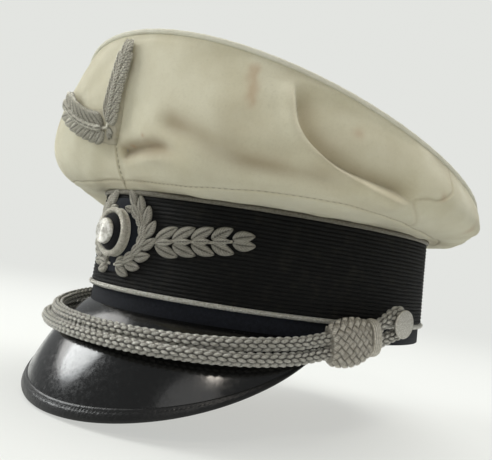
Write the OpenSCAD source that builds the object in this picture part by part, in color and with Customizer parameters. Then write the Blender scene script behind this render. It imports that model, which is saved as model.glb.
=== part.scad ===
// Officer's peaked cap with a lift-off white cover.
// Millimetres. The origin is the centre of the head opening, in the plane of the
// cap's lower edge. +Z is up, -Y is the front, +X is the wearer's left.

/* [Band] */
// Half width of the band's outer oval at its lower edge
band_a = 86; // [80:0.5:92]
// Half length of the band's outer oval at its lower edge
band_b = 104; // [97:0.5:111]
// Height of the band, up to the top piping
band_h = 57; // [50:0.5:62]
// How much narrower each side of the oval is at the top of the band
band_taper = 3; // [1:0.25:4]
// Radius of the two pipings round the band
piping_r = 1.25; // [0.8:0.05:1.5]

/* [Crown] */
// Half width of the crown's rim
rim_a = 116; // [108:0.5:122]
// Half length of the crown's rim
rim_b = 111.5; // [104:0.5:118]
// How far the rim's centre sits in front of the band's centre
rim_forward = 5.5; // [2:0.5:9]
// Height of the rim at the front peak
rim_front_z = 133; // [120:1:140]
// Height of the rim at the back
rim_back_z = 67; // [63:1:80]
// Thickness of the crown's cloth
cloth_t = 1; // [0.6:0.1:1.4]

/* [Visor] */
// Reach of the visor in front of the band
visor_reach = 29; // [24:0.5:34]
// Drop of the visor's front edge below the band
visor_drop = 50; // [40:0.5:56]
// Angle from the front at which each end of the visor meets the band
visor_angle = 72; // [64:1:76]
// Thickness of the visor
visor_t = 1.8; // [1.2:0.1:2.4]

/* [Chin cord] */
// Radius of each of the two cords
cord_r = 3.3; // [2.8:0.1:3.4]
// Radius of the side buttons
button_r = 7.2; // [6:0.1:8]
// Radius of a side button's shank
shank_r = 1.3; // [1:0.05:1.4]
// Clearance round a shank in its holes
shank_gap = 0.05; // [0.02:0.01:0.1]
// Length of a slide knot
knot_len = 23.6; // [20:0.2:25]

/* [Badges] */
// Height of the cockade's centre on the band
cockade_z = 36.5; // [34:0.5:39]
// Radius of the cockade's ring
cockade_r = 10.8; // [9:0.1:12]

/* [Hidden] */

// Layers of the band, as offsets outward from its outer oval
mohair_out = 0.2;
mohair_in = -1;
strip_in = -1.8;
stiff_in = -2.6;
sweat_out = -3.6;
sweat_in = -4.6;
layer_gap = 0.06;
sweatband_h = 43;
base_piping_z = 9.25;
mohair_z = base_piping_z + piping_r + 0.1;
top_piping_z = band_h;
panel_z = band_h + piping_r + 0.2;

ring_steps = 52;
step_deg = 360 / ring_steps;

function lerp(a, b, k) = a + (b - a) * k;
function unit(v) = v / norm(v);

// ---- Solids from grids of points -------------------------------------------------

// Two triangles for a four-cornered patch
function patch(a, b, c, d) = [[a, b, c], [a, c, d]];

// A sheet between an outer and an inner grid; the first index runs anticlockwise
// seen from above, the second runs upward or towards the middle
module sheet(outer, inner, loop = false)
{
    n = len(outer);
    m = len(outer[0]);
    last = loop ? n - 1 : n - 2;
    polyhedron(
        points = [for (g = [outer, inner]) for (row = g) each row],
        faces = [
            for (i = [0:last]) let (p = i * m, q = ((i + 1) % n) * m, s = n * m)
                each concat(
                    [for (j = [0:m - 2]) each patch(p + j, p + j + 1, q + j + 1, q + j)],
                    [for (j = [0:m - 2]) each patch(s + p + j, s + q + j, s + q + j + 1, s + p + j + 1)],
                    patch(p, q, s + q, s + p),
                    patch(q + m - 1, p + m - 1, s + p + m - 1, s + q + m - 1)
                ),
            if (!loop) for (j = [0:m - 2]) let (s = n * m, e = (n - 1) * m)
                each concat(
                    patch(j + 1, j, s + j, s + j + 1),
                    patch(e + j, e + j + 1, s + e + j + 1, s + e + j)
                )
        ],
        convexity = 8
    );
}

// A sheet whose rows close on one middle point
module dome_sheet(outer, inner, outer_mid, inner_mid)
{
    n = len(outer);
    m = len(outer[0]);
    s = n * m;
    c = 2 * s;
    polyhedron(
        points = concat([for (g = [outer, inner]) for (row = g) each row], [outer_mid, inner_mid]),
        faces = [
            for (i = [0:n - 1]) let (p = i * m, q = ((i + 1) % n) * m)
                each concat(
                    [for (j = [0:m - 2]) each patch(p + j, p + j + 1, q + j + 1, q + j)],
                    [for (j = [0:m - 2]) each patch(s + p + j, s + q + j, s + q + j + 1, s + p + j + 1)],
                    patch(p, q, s + q, s + p),
                    [[p + m - 1, c, q + m - 1], [s + q + m - 1, c + 1, s + p + m - 1]]
                )
        ],
        convexity = 8
    );
}

// A body swept through rings of points
module sweep(rings, loop = false)
{
    n = len(rings);
    m = len(rings[0]);
    last = loop ? n - 1 : n - 2;
    polyhedron(
        points = [for (r = rings) each r],
        faces = concat(
            [for (i = [0:last]) for (j = [0:m - 1])
                let (p = i * m, q = ((i + 1) % n) * m, k = (j + 1) % m)
                each patch(p + j, q + j, q + k, p + k)],
            loop ? [] : [[for (j = [0:m - 1]) j], [for (j = [m - 1:-1:0]) (n - 1) * m + j]]
        ),
        convexity = 8
    );
}

// Round rings along a path; the path closes on itself when loop is true
function tube_rings(path, r, sides, loop) =
    let (n = len(path))
    [for (i = [0:n - 1])
        let (
            before = loop ? path[(i + n - 1) % n] : path[max(0, i - 1)],
            after = loop ? path[(i + 1) % n] : path[min(n - 1, i + 1)],
            t = unit(after - before),
            a = unit(cross(t, [0, 0, 1])),
            b = cross(t, a)
        )
        [for (k = [0:sides - 1]) let (f = 360 * k / sides) path[i] + r * (a * cos(f) + b * sin(f))]];

// ---- Band ------------------------------------------------------------------------

// A point on the band at azimuth t from the front, offset o outward, height z
function band_pt(t, o, z) =
    let (
        k = z / band_h * band_taper,
        a = band_a - k,
        b = band_b - k * 0.7,
        n = unit([sin(t) / a, -cos(t) / b])
    )
    [a * sin(t) + n.x * o, -b * cos(t) - k / 3 + n.y * o, z];

// A ring round the band with a profile of [offset, height] points, listed clockwise
module band_ring(profile)
{
    sweep([for (i = [0:ring_steps - 1]) [for (p = profile) band_pt(i * step_deg, p.x, p.y)]], loop = true);
}

function band_box(o0, o1, z0, z1) = [[o0, z0], [o0, z1], [o1, z1], [o1, z0]];

hinge = [93, 4, 12.2];
shank_end_x = band_a + stiff_in - 1.5;
washer_x = shank_end_x + 0.3;
washer_t = 0.4;
washer_r = 3.6;

// The two holes that the button shanks pass through
module shank_holes()
{
    translate([0, hinge.y, hinge.z])
        rotate([0, 90, 0])
            cylinder(h = 4 * band_a, r = shank_r + shank_gap, center = true, $fn = 48);
}

// The seats inside the band that the shanks' washers lie in
module washer_seats()
{
    translate([0, hinge.y, hinge.z])
        rotate([0, 90, 0])
            cylinder(h = 2 * (washer_x + washer_t + layer_gap), r = washer_r + layer_gap, center = true, $fn = 48);
}

module base_strip()
{
    color("#1d2333") difference() {
        band_ring(band_box(strip_in, mohair_in - layer_gap, 0, band_h - 1));
        shank_holes();
    }
}

module band_stiffener()
{
    color("#b9a684") difference() {
        band_ring(band_box(stiff_in, strip_in - layer_gap, 0, band_h - 1));
        shank_holes();
        washer_seats();
    }
}

module mohair_band()
{
    color("#121212") difference() {
        band_ring(band_box(mohair_in, mohair_out, mohair_z, band_h - piping_r - 0.1));
        shank_holes();
    }
}

module band_piping(o, z)
{
    path = [for (i = [0:ring_steps - 1]) band_pt(i * step_deg, o, z)];
    color("silver") sweep(tube_rings(path, piping_r, 8, true), loop = true);
}

module band_base_piping() { band_piping(mohair_in + piping_r + 0.05, base_piping_z); }

module band_top_piping() { band_piping(mohair_in + piping_r + 0.05, top_piping_z); }

module sweatband()
{
    color("#8a5a36") band_ring(band_box(sweat_in, sweat_out, 0, sweatband_h));
}

module sweatband_tape()
{
    color("#3a3a3c") band_ring(band_box(sweat_out + 0.05, stiff_in - 0.05, 0, 5));
}

module sweatband_bow()
{
    wing = [[0.6, 0.8], [5, 3], [8, 2.2], [8, -2.2], [5, -3], [0.6, -0.8]];
    color("#5c3a22")
        translate([0, band_b - 7, 12])
            rotate([90, 0, 0])
                linear_extrude(1)
                    union() {
                        polygon(wing);
                        mirror([1, 0]) polygon(wing);
                        circle(r = 1.6, $fn = 24);
                    }
}

// ---- Crown -----------------------------------------------------------------------

rim_power = 1.5;
// Reach and rise of the panel as it leaves the band: front, side, back
low_reach = [12, 57, 22];
low_rise = [18, -3, -5];
// Reach and drop of the panel as it comes up to the rim: front, side, back
high_reach = [9, 11, 6];
high_drop = [32, 18, 10];
front_dent = 26;
top_dome = 3;

function turn(t) = t > 180 ? t - 360 : t;
function back_weight(t) = pow(max(0, -cos(t)), 1.5);
function low_mix(t, v) =
    v[1] + (v[0] - v[1]) * exp(-pow(turn(t) / front_dent, 2)) + (v[2] - v[1]) * back_weight(t);
function high_mix(t, v) =
    v[1] + (v[0] - v[1]) * pow(max(0, cos(t)), 1.5) + (v[2] - v[1]) * back_weight(t);

// How strongly a place near azimuth at shares in a local change of shape
function near(t, at, width) = exp(-pow((turn(t) - at) / width, 2));

// The cloth hangs low at the right temple, is full ahead of it, and sits close behind the left ear
temple = [-75, 20];
temple_sag = 23;
temple_tuck = 6;
brow = [-34, 24];
brow_fill = 6;
ear = [115, 32];
ear_tuck = 20;
ear_rise = 4;

// Height of the crown's top where the front-to-back position is c, from -1 to 1
function rim_height(c) = lerp(rim_back_z, rim_front_z, pow((1 + c) / 2, rim_power));
function rim_pt(t) = [rim_a * sin(t), -rim_b * cos(t) - rim_forward, rim_height(cos(t))];
function rim_out(t) = let (n = unit([sin(t) / rim_a, -cos(t) / rim_b])) [n.x, n.y, 0];

// A point on the outer face of the crown's side at height fraction u
function crown_pt(t, u) =
    let (
        n = rim_out(t),
        p0 = band_pt(t, 0, panel_z),
        p3 = rim_pt(t),
        hang = near(t, temple.x, temple.y),
        close = near(t, ear.x, ear.y),
        reach = low_mix(t, low_reach) - temple_tuck * hang - ear_tuck * close,
        rise = low_mix(t, low_rise) - temple_sag * hang + ear_rise * close,
        full = high_mix(t, high_reach) + brow_fill * near(t, brow.x, brow.y),
        p1 = p0 + n * reach + [0, 0, rise],
        p2 = p3 + n * full - [0, 0, high_mix(t, high_drop)],
        v = 1 - u
    )
    v * v * v * p0 + 3 * u * v * v * p1 + 3 * u * u * v * p2 + u * u * u * p3;

// The outward direction of that face
function crown_normal(t, u) =
    unit(cross(crown_pt(t + 1, u) - crown_pt(t - 1, u), crown_pt(t, u + 0.02) - crown_pt(t, u - 0.02)));

function crown_off(t, u, o) = crown_pt(t, u) + crown_normal(t, u) * o;

rim_piping_r = 1.3;
panel_gap = 0.12;

// Height fraction at which the side stops short of the rim's piping
function panel_top_u(t) =
    1 - (rim_piping_r + 0.3) / (3 * norm([high_mix(t, high_reach), high_mix(t, high_drop)]));

// One of the four side panels, between two azimuths
module crown_panel(t0, t1)
{
    across = 12;
    up = 9;
    grid = [for (i = [0:across]) let (t = lerp(t0 + panel_gap, t1 - panel_gap, i / across))
        [for (j = [0:up]) [t, panel_top_u(t) * j / up]]];
    color("#eceade") sheet(
        [for (row = grid) [for (g = row) crown_pt(g.x, g.y)]],
        [for (row = grid) [for (g = row) crown_off(g.x, g.y, -cloth_t)]]
    );
}

module crown_panel_front_left() { crown_panel(0, 90); }
module crown_panel_back_left() { crown_panel(90, 180); }
module crown_panel_back_right() { crown_panel(180, 270); }
module crown_panel_front_right() { crown_panel(270, 360); }

// The top's face at a fraction f of the way from its middle to the rim
function top_pt(t, f, drop) =
    [rim_a * f * sin(t), -rim_b * f * cos(t) - rim_forward,
     rim_height(f * cos(t)) + top_dome * (1 - f * f) - drop];

module crown_top()
{
    rows = [0.985, 0.86, 0.66, 0.42, 0.2];
    turns = [for (i = [0:47]) i * 7.5];
    color("#f1efe6") dome_sheet(
        [for (t = turns) [for (f = rows) top_pt(t, f, 0)]],
        [for (t = turns) [for (f = rows) top_pt(t, f, cloth_t)]],
        top_pt(0, 0, 0),
        top_pt(0, 0, cloth_t)
    );
}

module crown_rim_piping()
{
    path = [for (i = [0:ring_steps - 1]) rim_pt(i * step_deg)];
    color("#e6e3d6") sweep(tube_rings(path, rim_piping_r, 8, true), loop = true);
}

// The turned-in hem that tucks inside the top of the band
module crown_hem()
{
    tuck = stiff_in - 0.5;
    top = panel_z + 1;
    color("#e9e6da") band_ring([
        [tuck - 0.9, band_h - 8], [tuck - 0.9, top], [-cloth_t - 0.1, top],
        [-cloth_t - 0.1, panel_z + 0.1], [tuck, panel_z + 0.1], [tuck, band_h - 8]
    ]);
}

// The steel hoop lies just inside the rim and under the top
function wire_pt(t) = rim_pt(t) - rim_out(t) * 4.6 - [0, 0, 4.1];

module crown_wire()
{
    color("#9b9c9f") sweep(
        tube_rings([for (i = [0:ring_steps - 1]) wire_pt(i * step_deg)], 1.1, 6, true),
        loop = true
    );
}

module wire_ferrule()
{
    arc = [for (i = [-2:2]) wire_pt(180 + i * 2.4)];
    longer = [for (i = [-3:3]) wire_pt(180 + i * 2.4)];
    color("#c9a86a") difference() {
        sweep(tube_rings(arc, 2, 12, false));
        sweep(tube_rings(longer, 1.3, 12, false));
    }
}

// A flat spring that props the crown up at the front
module front_stay()
{
    half_w = 5;
    gap = 1.4;
    rings = [for (u = [0.04:0.11:0.93])
        let (
            p = crown_off(0, u, -cloth_t - gap),
            n = crown_normal(0, u)
        )
        [for (c = [[1, 0], [1, 1], [-1, 1], [-1, 0]]) p + [c.x * half_w, 0, 0] - n * 0.8 * c.y]];
    color("#8f9296") sweep(rings);
}

// Wadding behind the front of the crown
module front_pad()
{
    grid = [for (i = [0:8]) [for (j = [0:6]) [lerp(-26, 26, i / 8), lerp(0.3, 0.86, j / 6)]]];
    color("#d8d2c0") sheet(
        [for (row = grid) [for (g = row) crown_off(g.x + 360, g.y, -4.2)]],
        [for (row = grid) [for (g = row) crown_off(g.x + 360, g.y, -7.6)]]
    );
}

// ---- Lining ----------------------------------------------------------------------

lining_z = sweatband_h + 1;
lining_gap = 11;

// A point on the lining; w runs from its edge at 0 to the middle of its top at 1
function lining_pt(t, w, inset) =
    let (
        f = pow(cos(90 * w), 0.55),
        edge = band_pt(t, stiff_in - 2.2 - inset, lining_z),
        y = edge.y * f - 2 * (1 - f),
        c = -(y + rim_forward) / rim_b,
        top = rim_height(c) - lining_gap - inset
    )
    [edge.x * f, y, lerp(lining_z, top, pow(sin(90 * w), 0.8))];

module crown_lining()
{
    rows = [0, 0.16, 0.32, 0.48, 0.64, 0.8, 0.92];
    turns = [for (i = [0:39]) i * 9];
    color("#c8b98c") dome_sheet(
        [for (t = turns) [for (w = rows) lining_pt(t, w, 0)]],
        [for (t = turns) [for (w = rows) lining_pt(t, w, 0.7)]],
        lining_pt(0, 1, 0),
        lining_pt(0, 1, 0.7)
    );
}

// The clear shield sewn under the lining, a lozenge with its corners front and back
function shield_w(t, k) =
    let (reach = 0.72 / (abs(sin(t)) * 1.35 + abs(cos(t))), f = reach * (1 - k))
    acos(pow(f, 1 / 0.55)) / 90;

module sweat_shield()
{
    rows = [0, 0.35, 0.7];
    turns = [for (i = [0:23]) i * 15];
    color("#d9cfa6", 0.6) dome_sheet(
        [for (t = turns) [for (k = rows) lining_pt(t, shield_w(t, k), 1)]],
        [for (t = turns) [for (k = rows) lining_pt(t, shield_w(t, k), 1.5)]],
        lining_pt(0, 1, 1),
        lining_pt(0, 1, 1.5)
    );
}

// ---- Visor -----------------------------------------------------------------------

visor_bulge = 0.62;
visor_hang = 0.27;
visor_round = 2.6;
visor_end = 0.97;

// A point on the visor's upper face: s runs from end to end, u from the band to the edge
function visor_pt(s, u) =
    let (
        t = visor_angle * s,
        p = band_pt(t, mohair_in, 0),
        n = unit([sin(t) / band_a, -cos(t) / band_b]),
        out = (2 * u * (1 - u) * visor_bulge + u * u) * (visor_reach * (1 - pow(abs(s), visor_round)) + 1),
        down = (2 * u * (1 - u) * visor_hang + u * u) * visor_drop * (1 - s * s)
    )
    [p.x + n.x * out, p.y + n.y * out, -0.1 - down];

function visor_normal(s, u) =
    unit(cross(visor_pt(s + 0.01, u) - visor_pt(s - 0.01, u), visor_pt(s, u - 0.02) - visor_pt(s, u + 0.02)));

function visor_off(s, u, o) = visor_pt(s, u) + visor_normal(s, u) * o;

module visor_sheet(u0, u1, rows, upper, lower)
{
    across = 26;
    grid = [for (i = [0:across]) [for (j = [0:rows])
        [lerp(-visor_end, visor_end, i / across), lerp(u1, u0, j / rows)]]];
    sheet(
        [for (row = grid) [for (g = row) visor_off(g.x, g.y, upper)]],
        [for (row = grid) [for (g = row) visor_off(g.x, g.y, lower)]]
    );
}

module visor() { color("#0b0b0c") visor_sheet(0, 1, 6, 0, -visor_t); }

module visor_lining() { color("#20262a") visor_sheet(0.06, 0.97, 6, -visor_t - 0.15, -visor_t - 0.6); }

module visor_rim() { color("#0a0a0a") visor_sheet(0.9, 1, 2, 0.7, 0.05); }

// ---- Badges ----------------------------------------------------------------------

// A leaf on a curved face; $place takes a flat position and an offset to a point in space
module leaf(base, angle, length, width, lift)
{
    dir = [cos(angle), sin(angle)];
    side = [-dir.y, dir.x];
    swell = [0.18, 0.8, 1, 0.72, 0.14];
    spots = [for (i = [0:4]) [for (j = [-1:1])
        let (q = base + dir * length * i / 4 + side * width / 2 * swell[i] * j) [q.x, q.y, j]]];
    sheet(
        [for (row = spots) [for (q = row) $place(q, lift + 0.5 + 0.8 * (1 - abs(q.z)))]],
        [for (row = spots) [for (q = row) $place(q, lift)]]
    );
}

// Two leaves that part from one spot on a stem
module leaf_pair(at, angle, length, width, lift, spread, foot)
{
    dir = [cos(angle), sin(angle)];
    for (row = [-1, 1])
        leaf(at + [-dir.y, dir.x] * row * foot, angle + row * spread, length, width, lift);
}

// Flat position to the band's face, x along the oval from the front
function on_band(q, o) = band_pt(q.x / (band_a + 4) * 180 / PI, o, q.y);

// Flat position to the crown's front
function on_crown(q, o) =
    let (t = asin(q.x / (rim_a + 8)), u = (q.y - panel_z) / (rim_height(cos(t)) - panel_z))
    crown_off(t, u, o);

badge_x = -2;
wreath_w = 20.5;
wreath_h = 15.5;
wreath_pairs = 7;
backing_t = 0.9;

module band_badge_backing()
{
    half_w = wreath_w + 5;
    grid = [for (i = [0:12])
        let (x = lerp(-half_w, half_w, i / 12), h = (wreath_h + 4) * sqrt(1.01 - pow(x / half_w, 2)))
        [for (j = [0:4]) [badge_x + x, cockade_z + lerp(-h, min(h, 17.5), j / 4)]]];
    color("#22304a") sheet(
        [for (row = grid) [for (g = row) on_band(g, mohair_out + backing_t)]],
        [for (row = grid) [for (g = row) on_band(g, mohair_out + 0.05)]]
    );
}

module badge_wreath()
{
    $place = function (q, o) on_band(q, o);
    color("silver")
        for (side = [-1, 1])
            for (k = [0:wreath_pairs - 1])
                let (
                    f = lerp(-76, 52, k / (wreath_pairs - 1)),
                    dir = atan2(wreath_h * cos(f), -wreath_w * sin(f)),
                    at = [badge_x + side * wreath_w * cos(f), cockade_z - 0.4 + wreath_h * sin(f)]
                )
                    leaf_pair(at, side > 0 ? dir : 180 - dir, 7.4, 3.4, mohair_out + backing_t + 0.1, 26, 1.4);
}

// A straight leafy sprig beside the wreath
module badge_sprig(side)
{
    pairs = 5;
    from = [badge_x + side * 28, cockade_z - 2.5];
    to = [badge_x + side * 66, cockade_z + 3.5];
    angle = atan2(to.y - from.y, to.x - from.x);
    $place = function (q, o) on_band(q, o);
    color("silver")
        for (k = [0:pairs - 1])
            leaf_pair(
                lerp(from, to, k / (pairs - 1)), angle,
                lerp(12.5, 9.6, k / (pairs - 1)), 5, mohair_out + 0.1, k == pairs - 1 ? 16 : 35, 1.3
            );
}

module badge_sprig_left() { badge_sprig(1); }
module badge_sprig_right() { badge_sprig(-1); }

cockade_y = -(band_b + mohair_out + 1.2);
// Thickness of the cockade's padded disc
cockade_t = 6.7;

// Places a turned piece on the front of the band with its axis pointing forward
module on_front(y)
{
    translate([badge_x, y, cockade_z]) rotate([90, 0, 0]) children();
}

module cockade_disc()
{
    edge = cockade_r - 1.6;
    color("#15151a") on_front(cockade_y + 0.75)
        rotate_extrude($fn = 48)
            polygon([[0, 0], [edge, 0], [edge, 3.6], [8.6, 5.3], [6.7, cockade_t], [0, cockade_t]]);
}

module cockade_ring()
{
    color("silver") on_front(cockade_y - 2.8)
        rotate_extrude($fn = 48) translate([cockade_r, 0]) circle(r = 1.5, $fn = 20);
}

module cockade_boss()
{
    h = 3.4;
    color("silver") on_front(cockade_y + 0.7 - cockade_t)
        rotate_extrude($fn = 48)
            polygon(concat([[0, 0], [6.4, 0]], [for (f = [10:10:90]) [6.4 * cos(f), 0.5 + (h - 0.5) * sin(f)]]));
}

// The crown badge: two leafy sprigs that fork from a short stem, leaning to one side
badge_mid = [-2, 92];
badge_tilt = 28;
badge_axis = [cos(90 + badge_tilt), sin(90 + badge_tilt)];
badge_across = [badge_axis.y, -badge_axis.x];
sprig_len = 44;
short_side = 0.78;
crown_badge_off = 0.5;

// A point along the fork; k runs from -1 at one tip, through the fork, to 1 at the other
function fork_pt(k) =
    let (
        side = k < 0 ? -1 : 1,
        far = abs(k) * (side > 0 ? short_side : 1),
        a = lerp(64, 42, far)
    )
    badge_mid + sprig_len * far * (badge_across * side * sin(a) + badge_axis * cos(a));
function fork_dir(k) =
    let (side = k < 0 ? -1 : 1, d = side * (fork_pt(k + 0.04) - fork_pt(k - 0.04))) atan2(d.y, d.x);

module crown_badge_backing()
{
    spots = [for (i = [-8:8]) let (k = i / 8, h = lerp(7.5, 2.5, pow(abs(k), 3)))
        [for (j = [-1:1]) fork_pt(k) + badge_axis * h * j]];
    color("#ddd5bf") sheet(
        [for (row = spots) [for (q = row) on_crown(q, crown_badge_off + backing_t)]],
        [for (row = spots) [for (q = row) on_crown(q, crown_badge_off)]]
    );
}

module crown_badge_spray()
{
    pairs = 7;
    $place = function (q, o) on_crown(q, o);
    color("silver")
        for (side = [-1, 1])
            for (i = [0:pairs - 1])
                let (k = side * lerp(0.12, 0.88, i / (pairs - 1)))
                    leaf_pair(
                        fork_pt(k), fork_dir(k), lerp(8.2, 6.2, i / (pairs - 1)) * (side > 0 ? 0.85 : 1),
                        3.6, crown_badge_off + backing_t + 0.1, i == pairs - 1 ? 16 : 36, 1.1
                    );
}

// ---- Chin cord -------------------------------------------------------------------

// The pair's middle line on one side: from the button, straight through the slide,
// then round the front on an oval that leaves the straight without a corner
straight_from = [92.6, -12, 4.6];
straight_to = [87, -56, -4.2];
cord_front_y = -119.5;
cord_front_z = -10.2;
pair_gap = 0.2;
pair_tilt = 42;

arc_depth = straight_to.y - cord_front_y;
side_slope = (straight_from.x - straight_to.x) / (straight_from.y - straight_to.y);
arc_sine = side_slope * arc_depth / (straight_to.x - side_slope * arc_depth);
arc_start = asin(arc_sine);
arc_b = arc_depth / (1 - arc_sine);
arc_a = straight_to.x / cos(arc_start);

function front_arc_pt(f) =
    let (y = cord_front_y + arc_b * (1 - sin(f)))
    [arc_a * cos(f), y, lerp(cord_front_z, straight_to.z, pow((y - cord_front_y) / arc_depth, 1.3))];

arc_steps = 13;
pair_line = concat(
    [for (k = [0:5]) lerp(straight_from, straight_to, k / 6)],
    [for (k = [0:arc_steps]) front_arc_pt(lerp(arc_start, 90, k / arc_steps))]
);

// The direction from the lower cord to the upper one; they tilt back on to the visor
function stack_dir(i) =
    let (
        n = len(pair_line),
        t = unit(pair_line[min(n - 1, i + 1)] - pair_line[max(0, i - 1)]),
        flat = i == n - 1 ? [-1, 0, 0] : t,
        out = unit(cross([0, 0, 1], flat)),
        up = cross(flat, out),
        w = max(0, min(1, (straight_to.y - pair_line[i].y) / arc_depth)),
        tilt = pair_tilt * sin(90 * w)
    )
    up * cos(tilt) - out * sin(tilt);

// Each cord goes half way round the shank and meets the other behind it
loop_r = 5.6;
loop_fore = unit([0, straight_from.y - hinge.y, straight_from.z - hinge.z]);
loop_rise = [0, loop_fore.z, -loop_fore.y];

function cord_half(side) = concat(
    [for (f = [175.5:-21.5:68]) hinge + loop_r * (loop_fore * cos(f) + side * loop_rise * sin(f))],
    [for (i = [0:len(pair_line) - 1]) pair_line[i] + side * stack_dir(i) * (cord_r + pair_gap / 2)]
);

module chin_cord(side)
{
    half = cord_half(side);
    n = len(half);
    path = concat(half, [for (i = [n - 2:-1:0]) [-half[i].x, half[i].y, half[i].z]]);
    color("#c4c3bd") sweep(tube_rings(path, cord_r, 8, false));
}

module chin_cord_upper() { chin_cord(1); }
module chin_cord_lower() { chin_cord(-1); }

// Puts a piece on the straight of the pair, its X axis along the cords towards the front
cord_dir = unit(straight_to - straight_from);
module on_straight(y)
{
    at = lerp(straight_from, straight_to, (straight_from.y - y) / (straight_from.y - straight_to.y));
    translate(at) rotate([0, asin(-cord_dir.z), atan2(cord_dir.y, cord_dir.x)]) children();
}

// A barrel round both cords; its inner side is flatter, to lie along the band
module barrel(length, outer, inner, height, waist)
{
    stations = 8;
    sides = 16;
    rings = [for (i = [0:stations])
        let (x = lerp(-length / 2, length / 2, i / stations), s = 1 - waist * pow(2 * x / length, 2))
        [for (k = [0:sides - 1]) let (f = 360 * k / sides, c = cos(f))
            [x, (c > 0 ? outer * s : inner * lerp(1, s, 0.4)) * sign(c) * pow(abs(c), 0.75),
             height * s * sign(sin(f)) * pow(abs(sin(f)), 0.85)]]];
    difference() {
        sweep(rings);
        for (z = [-1, 1])
            translate([0, 0, z * (cord_r + pair_gap / 2)])
                rotate([0, 90, 0])
                    cylinder(h = 2 * length, r = cord_r + 0.25, center = true, $fn = 40);
    }
}

knot_y = -29.5;
collar_y = -14.4;

module slide_knot_left() { color("#b9b6aa") on_straight(knot_y) barrel(knot_len, 7.6, 4.4, 12, 0.22); }
module slide_collar_left() { color("#a9a699") on_straight(collar_y) barrel(5.6, 6, 4.3, 9.4, 0.08); }
module slide_knot_right() { mirror([1, 0, 0]) slide_knot_left(); }
module slide_collar_right() { mirror([1, 0, 0]) slide_collar_left(); }

// ---- Buttons ---------------------------------------------------------------------

button_x = hinge.x + cord_r + 0.4;

module button_left()
{
    color("#d9d8d2")
        translate([shank_end_x, hinge.y, hinge.z])
            rotate([0, 90, 0])
                rotate_extrude($fn = 64) {
                    stem = button_x - shank_end_x;
                    polygon(concat(
                        [[0, 0], [shank_r, 0], [shank_r, stem], [button_r - 0.6, stem], [button_r, stem + 0.5]],
                        [[button_r, stem + 1.2], [button_r - 0.5, stem + 1.8], [button_r * 0.6, stem + 2.3],
                         [0, stem + 2.5]]
                    ));
                }
}

module button_right() { mirror([1, 0, 0]) button_left(); }

module button_washer_left()
{
    color("#b08d4f")
        translate([washer_x, hinge.y, hinge.z])
            rotate([0, 90, 0])
                difference() {
                    cylinder(h = washer_t, r = washer_r, $fn = 40);
                    translate([0, 0, -1]) cylinder(h = 3, r = shank_r + shank_gap, $fn = 40);
                }
}

module button_washer_right() { mirror([1, 0, 0]) button_washer_left(); }

// ---- Parts -----------------------------------------------------------------------

base_strip();
band_stiffener();
mohair_band();
band_base_piping();
band_top_piping();
sweatband();
sweatband_tape();
sweatband_bow();
crown_lining();
sweat_shield();
visor();
visor_lining();
visor_rim();
band_badge_backing();
badge_wreath();
badge_sprig_left();
badge_sprig_right();
cockade_disc();
cockade_ring();
cockade_boss();
button_washer_left();
button_washer_right();
crown_top();
crown_panel_front_left();
crown_panel_front_right();
crown_panel_back_left();
crown_panel_back_right();
crown_rim_piping();
crown_hem();
crown_wire();
wire_ferrule();
front_stay();
front_pad();
crown_badge_backing();
crown_badge_spray();
chin_cord_upper();
chin_cord_lower();
slide_knot_left();
slide_collar_left();
slide_knot_right();
slide_collar_right();
button_left();
button_right();
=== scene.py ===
"""The looks of the peaked cap: smooth cloth, braid, bullion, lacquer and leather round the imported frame.
Lengths in the geometry below are in millimetres, and become metres when a mesh is made."""
import math

import bmesh
import bpy
import numpy as np
from mathutils import Matrix, Vector


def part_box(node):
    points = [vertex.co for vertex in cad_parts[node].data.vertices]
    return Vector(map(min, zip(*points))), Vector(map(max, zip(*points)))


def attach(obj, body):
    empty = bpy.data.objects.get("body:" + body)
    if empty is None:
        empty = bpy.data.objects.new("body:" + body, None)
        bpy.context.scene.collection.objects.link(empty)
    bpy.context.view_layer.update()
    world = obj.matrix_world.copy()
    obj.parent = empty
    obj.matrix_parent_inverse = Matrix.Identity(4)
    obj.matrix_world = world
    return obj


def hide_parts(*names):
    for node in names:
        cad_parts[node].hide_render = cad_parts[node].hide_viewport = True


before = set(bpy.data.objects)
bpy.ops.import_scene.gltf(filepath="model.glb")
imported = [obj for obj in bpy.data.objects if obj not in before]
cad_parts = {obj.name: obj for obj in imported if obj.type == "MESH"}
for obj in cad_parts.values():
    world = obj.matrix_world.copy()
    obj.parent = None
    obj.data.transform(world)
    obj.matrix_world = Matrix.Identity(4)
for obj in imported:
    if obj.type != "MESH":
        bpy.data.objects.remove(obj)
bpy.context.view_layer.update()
MM = 0.001
RING_UV = 95  # mean radius of the band in millimetres, for its UV maps
UP = np.array([0.0, 0.0, 1.0])


# ---- Small numeric helpers -------------------------------------------------------------

def unit(v):
    v = np.asarray(v, float)
    return v / np.maximum(np.linalg.norm(v, axis=-1, keepdims=True), 1e-12)


def mix(a, b, k):
    return a + (b - a) * k


def smooth(a, b, x):
    k = np.clip((x - a) / (b - a), 0, 1)
    return k * k * (3 - 2 * k)


def bump(x, width):
    return np.exp(-((x / width) ** 2))


def turned(t):
    return (t + 180) % 360 - 180


def wave_noise(x, y, seed, scale):
    """A soft, seeded unevenness between about -1 and 1."""
    r = np.random.default_rng(seed)
    total = 0
    for _ in range(7):
        a, f, p = r.uniform(0, 2 * math.pi), r.uniform(0.5, 1.6) / scale, r.uniform(0, 2 * math.pi)
        total = total + np.sin(2 * math.pi * f * (x * math.cos(a) + y * math.sin(a)) + p)
    return total / 4


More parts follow.
